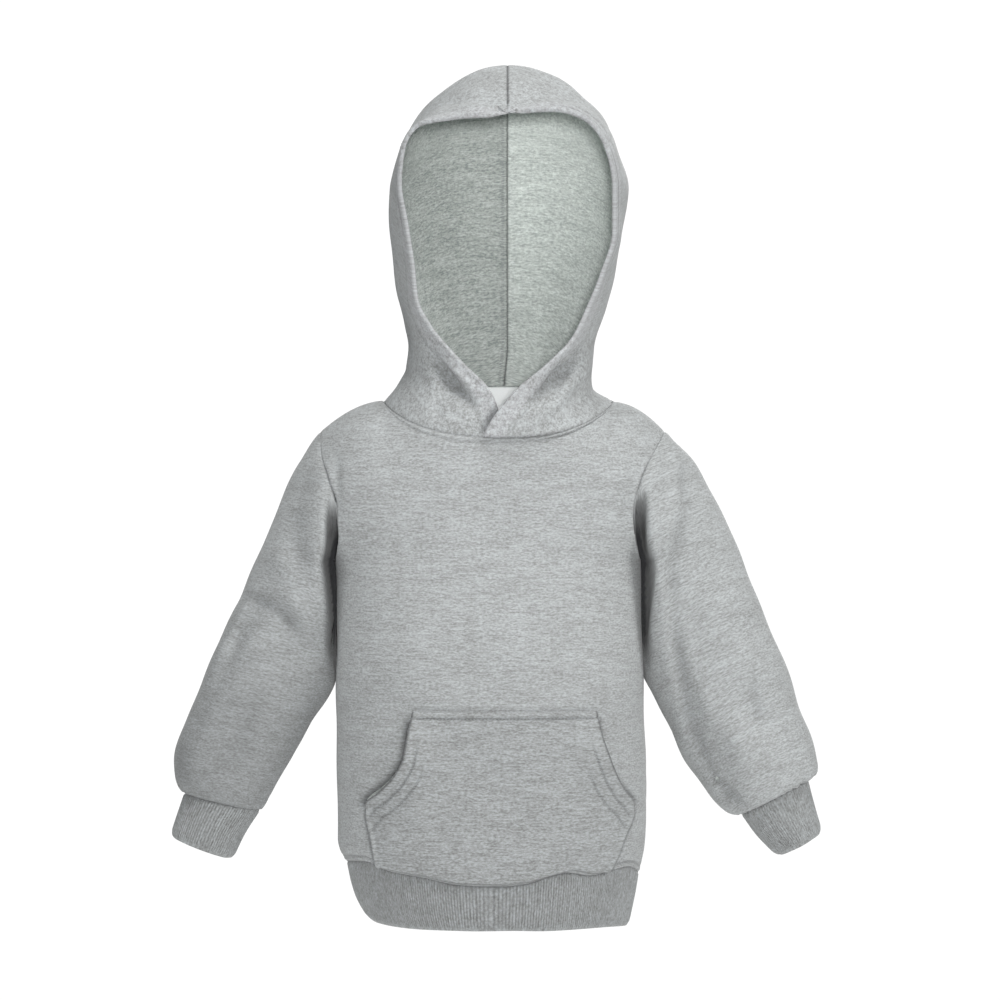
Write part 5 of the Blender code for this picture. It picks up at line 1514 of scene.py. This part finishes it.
# floor, lights and camera, in metres
studio = dict(floorZ=-0.72, floorRadius=1.35, floorGreys=(0.82, 0.86), floorGrain=9.0,
              cameraY=-2.4, cameraZ=-0.08, lens=108.0, sensor=36.0,
              skyLight=0.10, skyColour=(0.84, 0.96, 1.0), backdrop=1.05,
              # name, place, aim, size, watts, colour
              lamps=(("topLight", (0.1, -0.6, 2.4), (0.0, 0.0, -0.1), 1.2, 42.0,
                      (1.0, 0.998, 0.99)),
                     ("sideLight", (2.1, -1.45, 1.2), (0.0, 0.0, -0.1), 1.0, 38.0,
                      (1.0, 0.997, 0.985)),
                     ("frontLight", (0.07, -3.0, -0.02), (0.0, 0.0, 0.0), 0.2, 62.0,
                      (1.0, 1.0, 1.0)),
                     ("fillLight", (-2.3, -1.0, 0.7), (0.0, 0.0, -0.1), 1.2, 12.0,
                      (1.0, 1.0, 1.0)),
                     ("backLight", (0.4, 2.6, 1.0), (0.0, 0.0, 0.0), 1.4, 60.0,
                      (1.0, 1.0, 1.0))))


def makeFloor():
    turns = np.linspace(0, 2 * math.pi, 97)[:-1]
    radius = studio["floorRadius"]
    verts = [(radius * math.cos(a), radius * math.sin(a), studio["floorZ"]) for a in turns]
    mesh = bpy.data.meshes.new("floorDisc")
    mesh.from_pydata(verts, [], [list(range(len(verts)))])
    paint, count = Nodes("paleFloor"), studio["floorGrain"]
    grain = paint.noise(paint.add("ShaderNodeTexCoord").outputs["Object"], count, count)
    dark, light = (greys(level, (1.0, 1.0, 1.0)) for level in studio["floorGreys"])
    shade = paint.mix(dark, light, grain)
    paint.tree.links.new(shade, paint.shader.inputs["Base Color"])
    paint.shader.inputs["Roughness"].default_value = 0.9
    mesh.materials.append(paint.material)
    disc = bpy.data.objects.new("floorDisc", mesh)
    bpy.context.scene.collection.objects.link(disc)
    return disc


floorDisc = makeFloor()


def aim(thing, target):
    way = thing.location - type(thing.location)(target)
    thing.rotation_euler = way.to_track_quat("Z", "Y").to_euler()


for name, place, target, size, watts, colour in studio["lamps"]:
    lamp = bpy.data.lights.new(name, "AREA")
    lamp.size = size
    lamp.energy = watts
    lamp.color = colour
    holder = bpy.data.objects.new(name, lamp)
    holder.location = place
    bpy.context.scene.collection.objects.link(holder)
    aim(holder, target)

# plain white behind everything, and a softer sky for the light
world = bpy.data.worlds.new("whiteRoom")
bpy.context.scene.world = world
world.use_nodes = True
sky = world.node_tree
sky.nodes.clear()
path = sky.nodes.new("ShaderNodeLightPath")
seen, lit = sky.nodes.new("ShaderNodeBackground"), sky.nodes.new("ShaderNodeBackground")
seen.inputs["Color"].default_value = (1.0, 1.0, 1.0, 1.0)
seen.inputs["Strength"].default_value = studio["backdrop"]
lit.inputs["Color"].default_value = (*studio["skyColour"], 1.0)
lit.inputs["Strength"].default_value = studio["skyLight"]
blend, output = sky.nodes.new("ShaderNodeMixShader"), sky.nodes.new("ShaderNodeOutputWorld")
sky.links.new(path.outputs["Is Camera Ray"], blend.inputs[0])
sky.links.new(lit.outputs[0], blend.inputs[1])
sky.links.new(seen.outputs[0], blend.inputs[2])
sky.links.new(blend.outputs[0], output.inputs["Surface"])

view = bpy.data.cameras.new("mainCamera")
view.lens = studio["lens"]
view.sensor_width = studio["sensor"]
viewer = bpy.data.objects.new("mainCamera", view)
viewer.location = (0.0, studio["cameraY"], studio["cameraZ"])
viewer.rotation_euler = (math.pi / 2, 0.0, 0.0)
bpy.context.scene.collection.objects.link(viewer)
bpy.context.scene.camera = viewer
bpy.context.scene.view_settings.view_transform = "Standard"
print("studio ready")
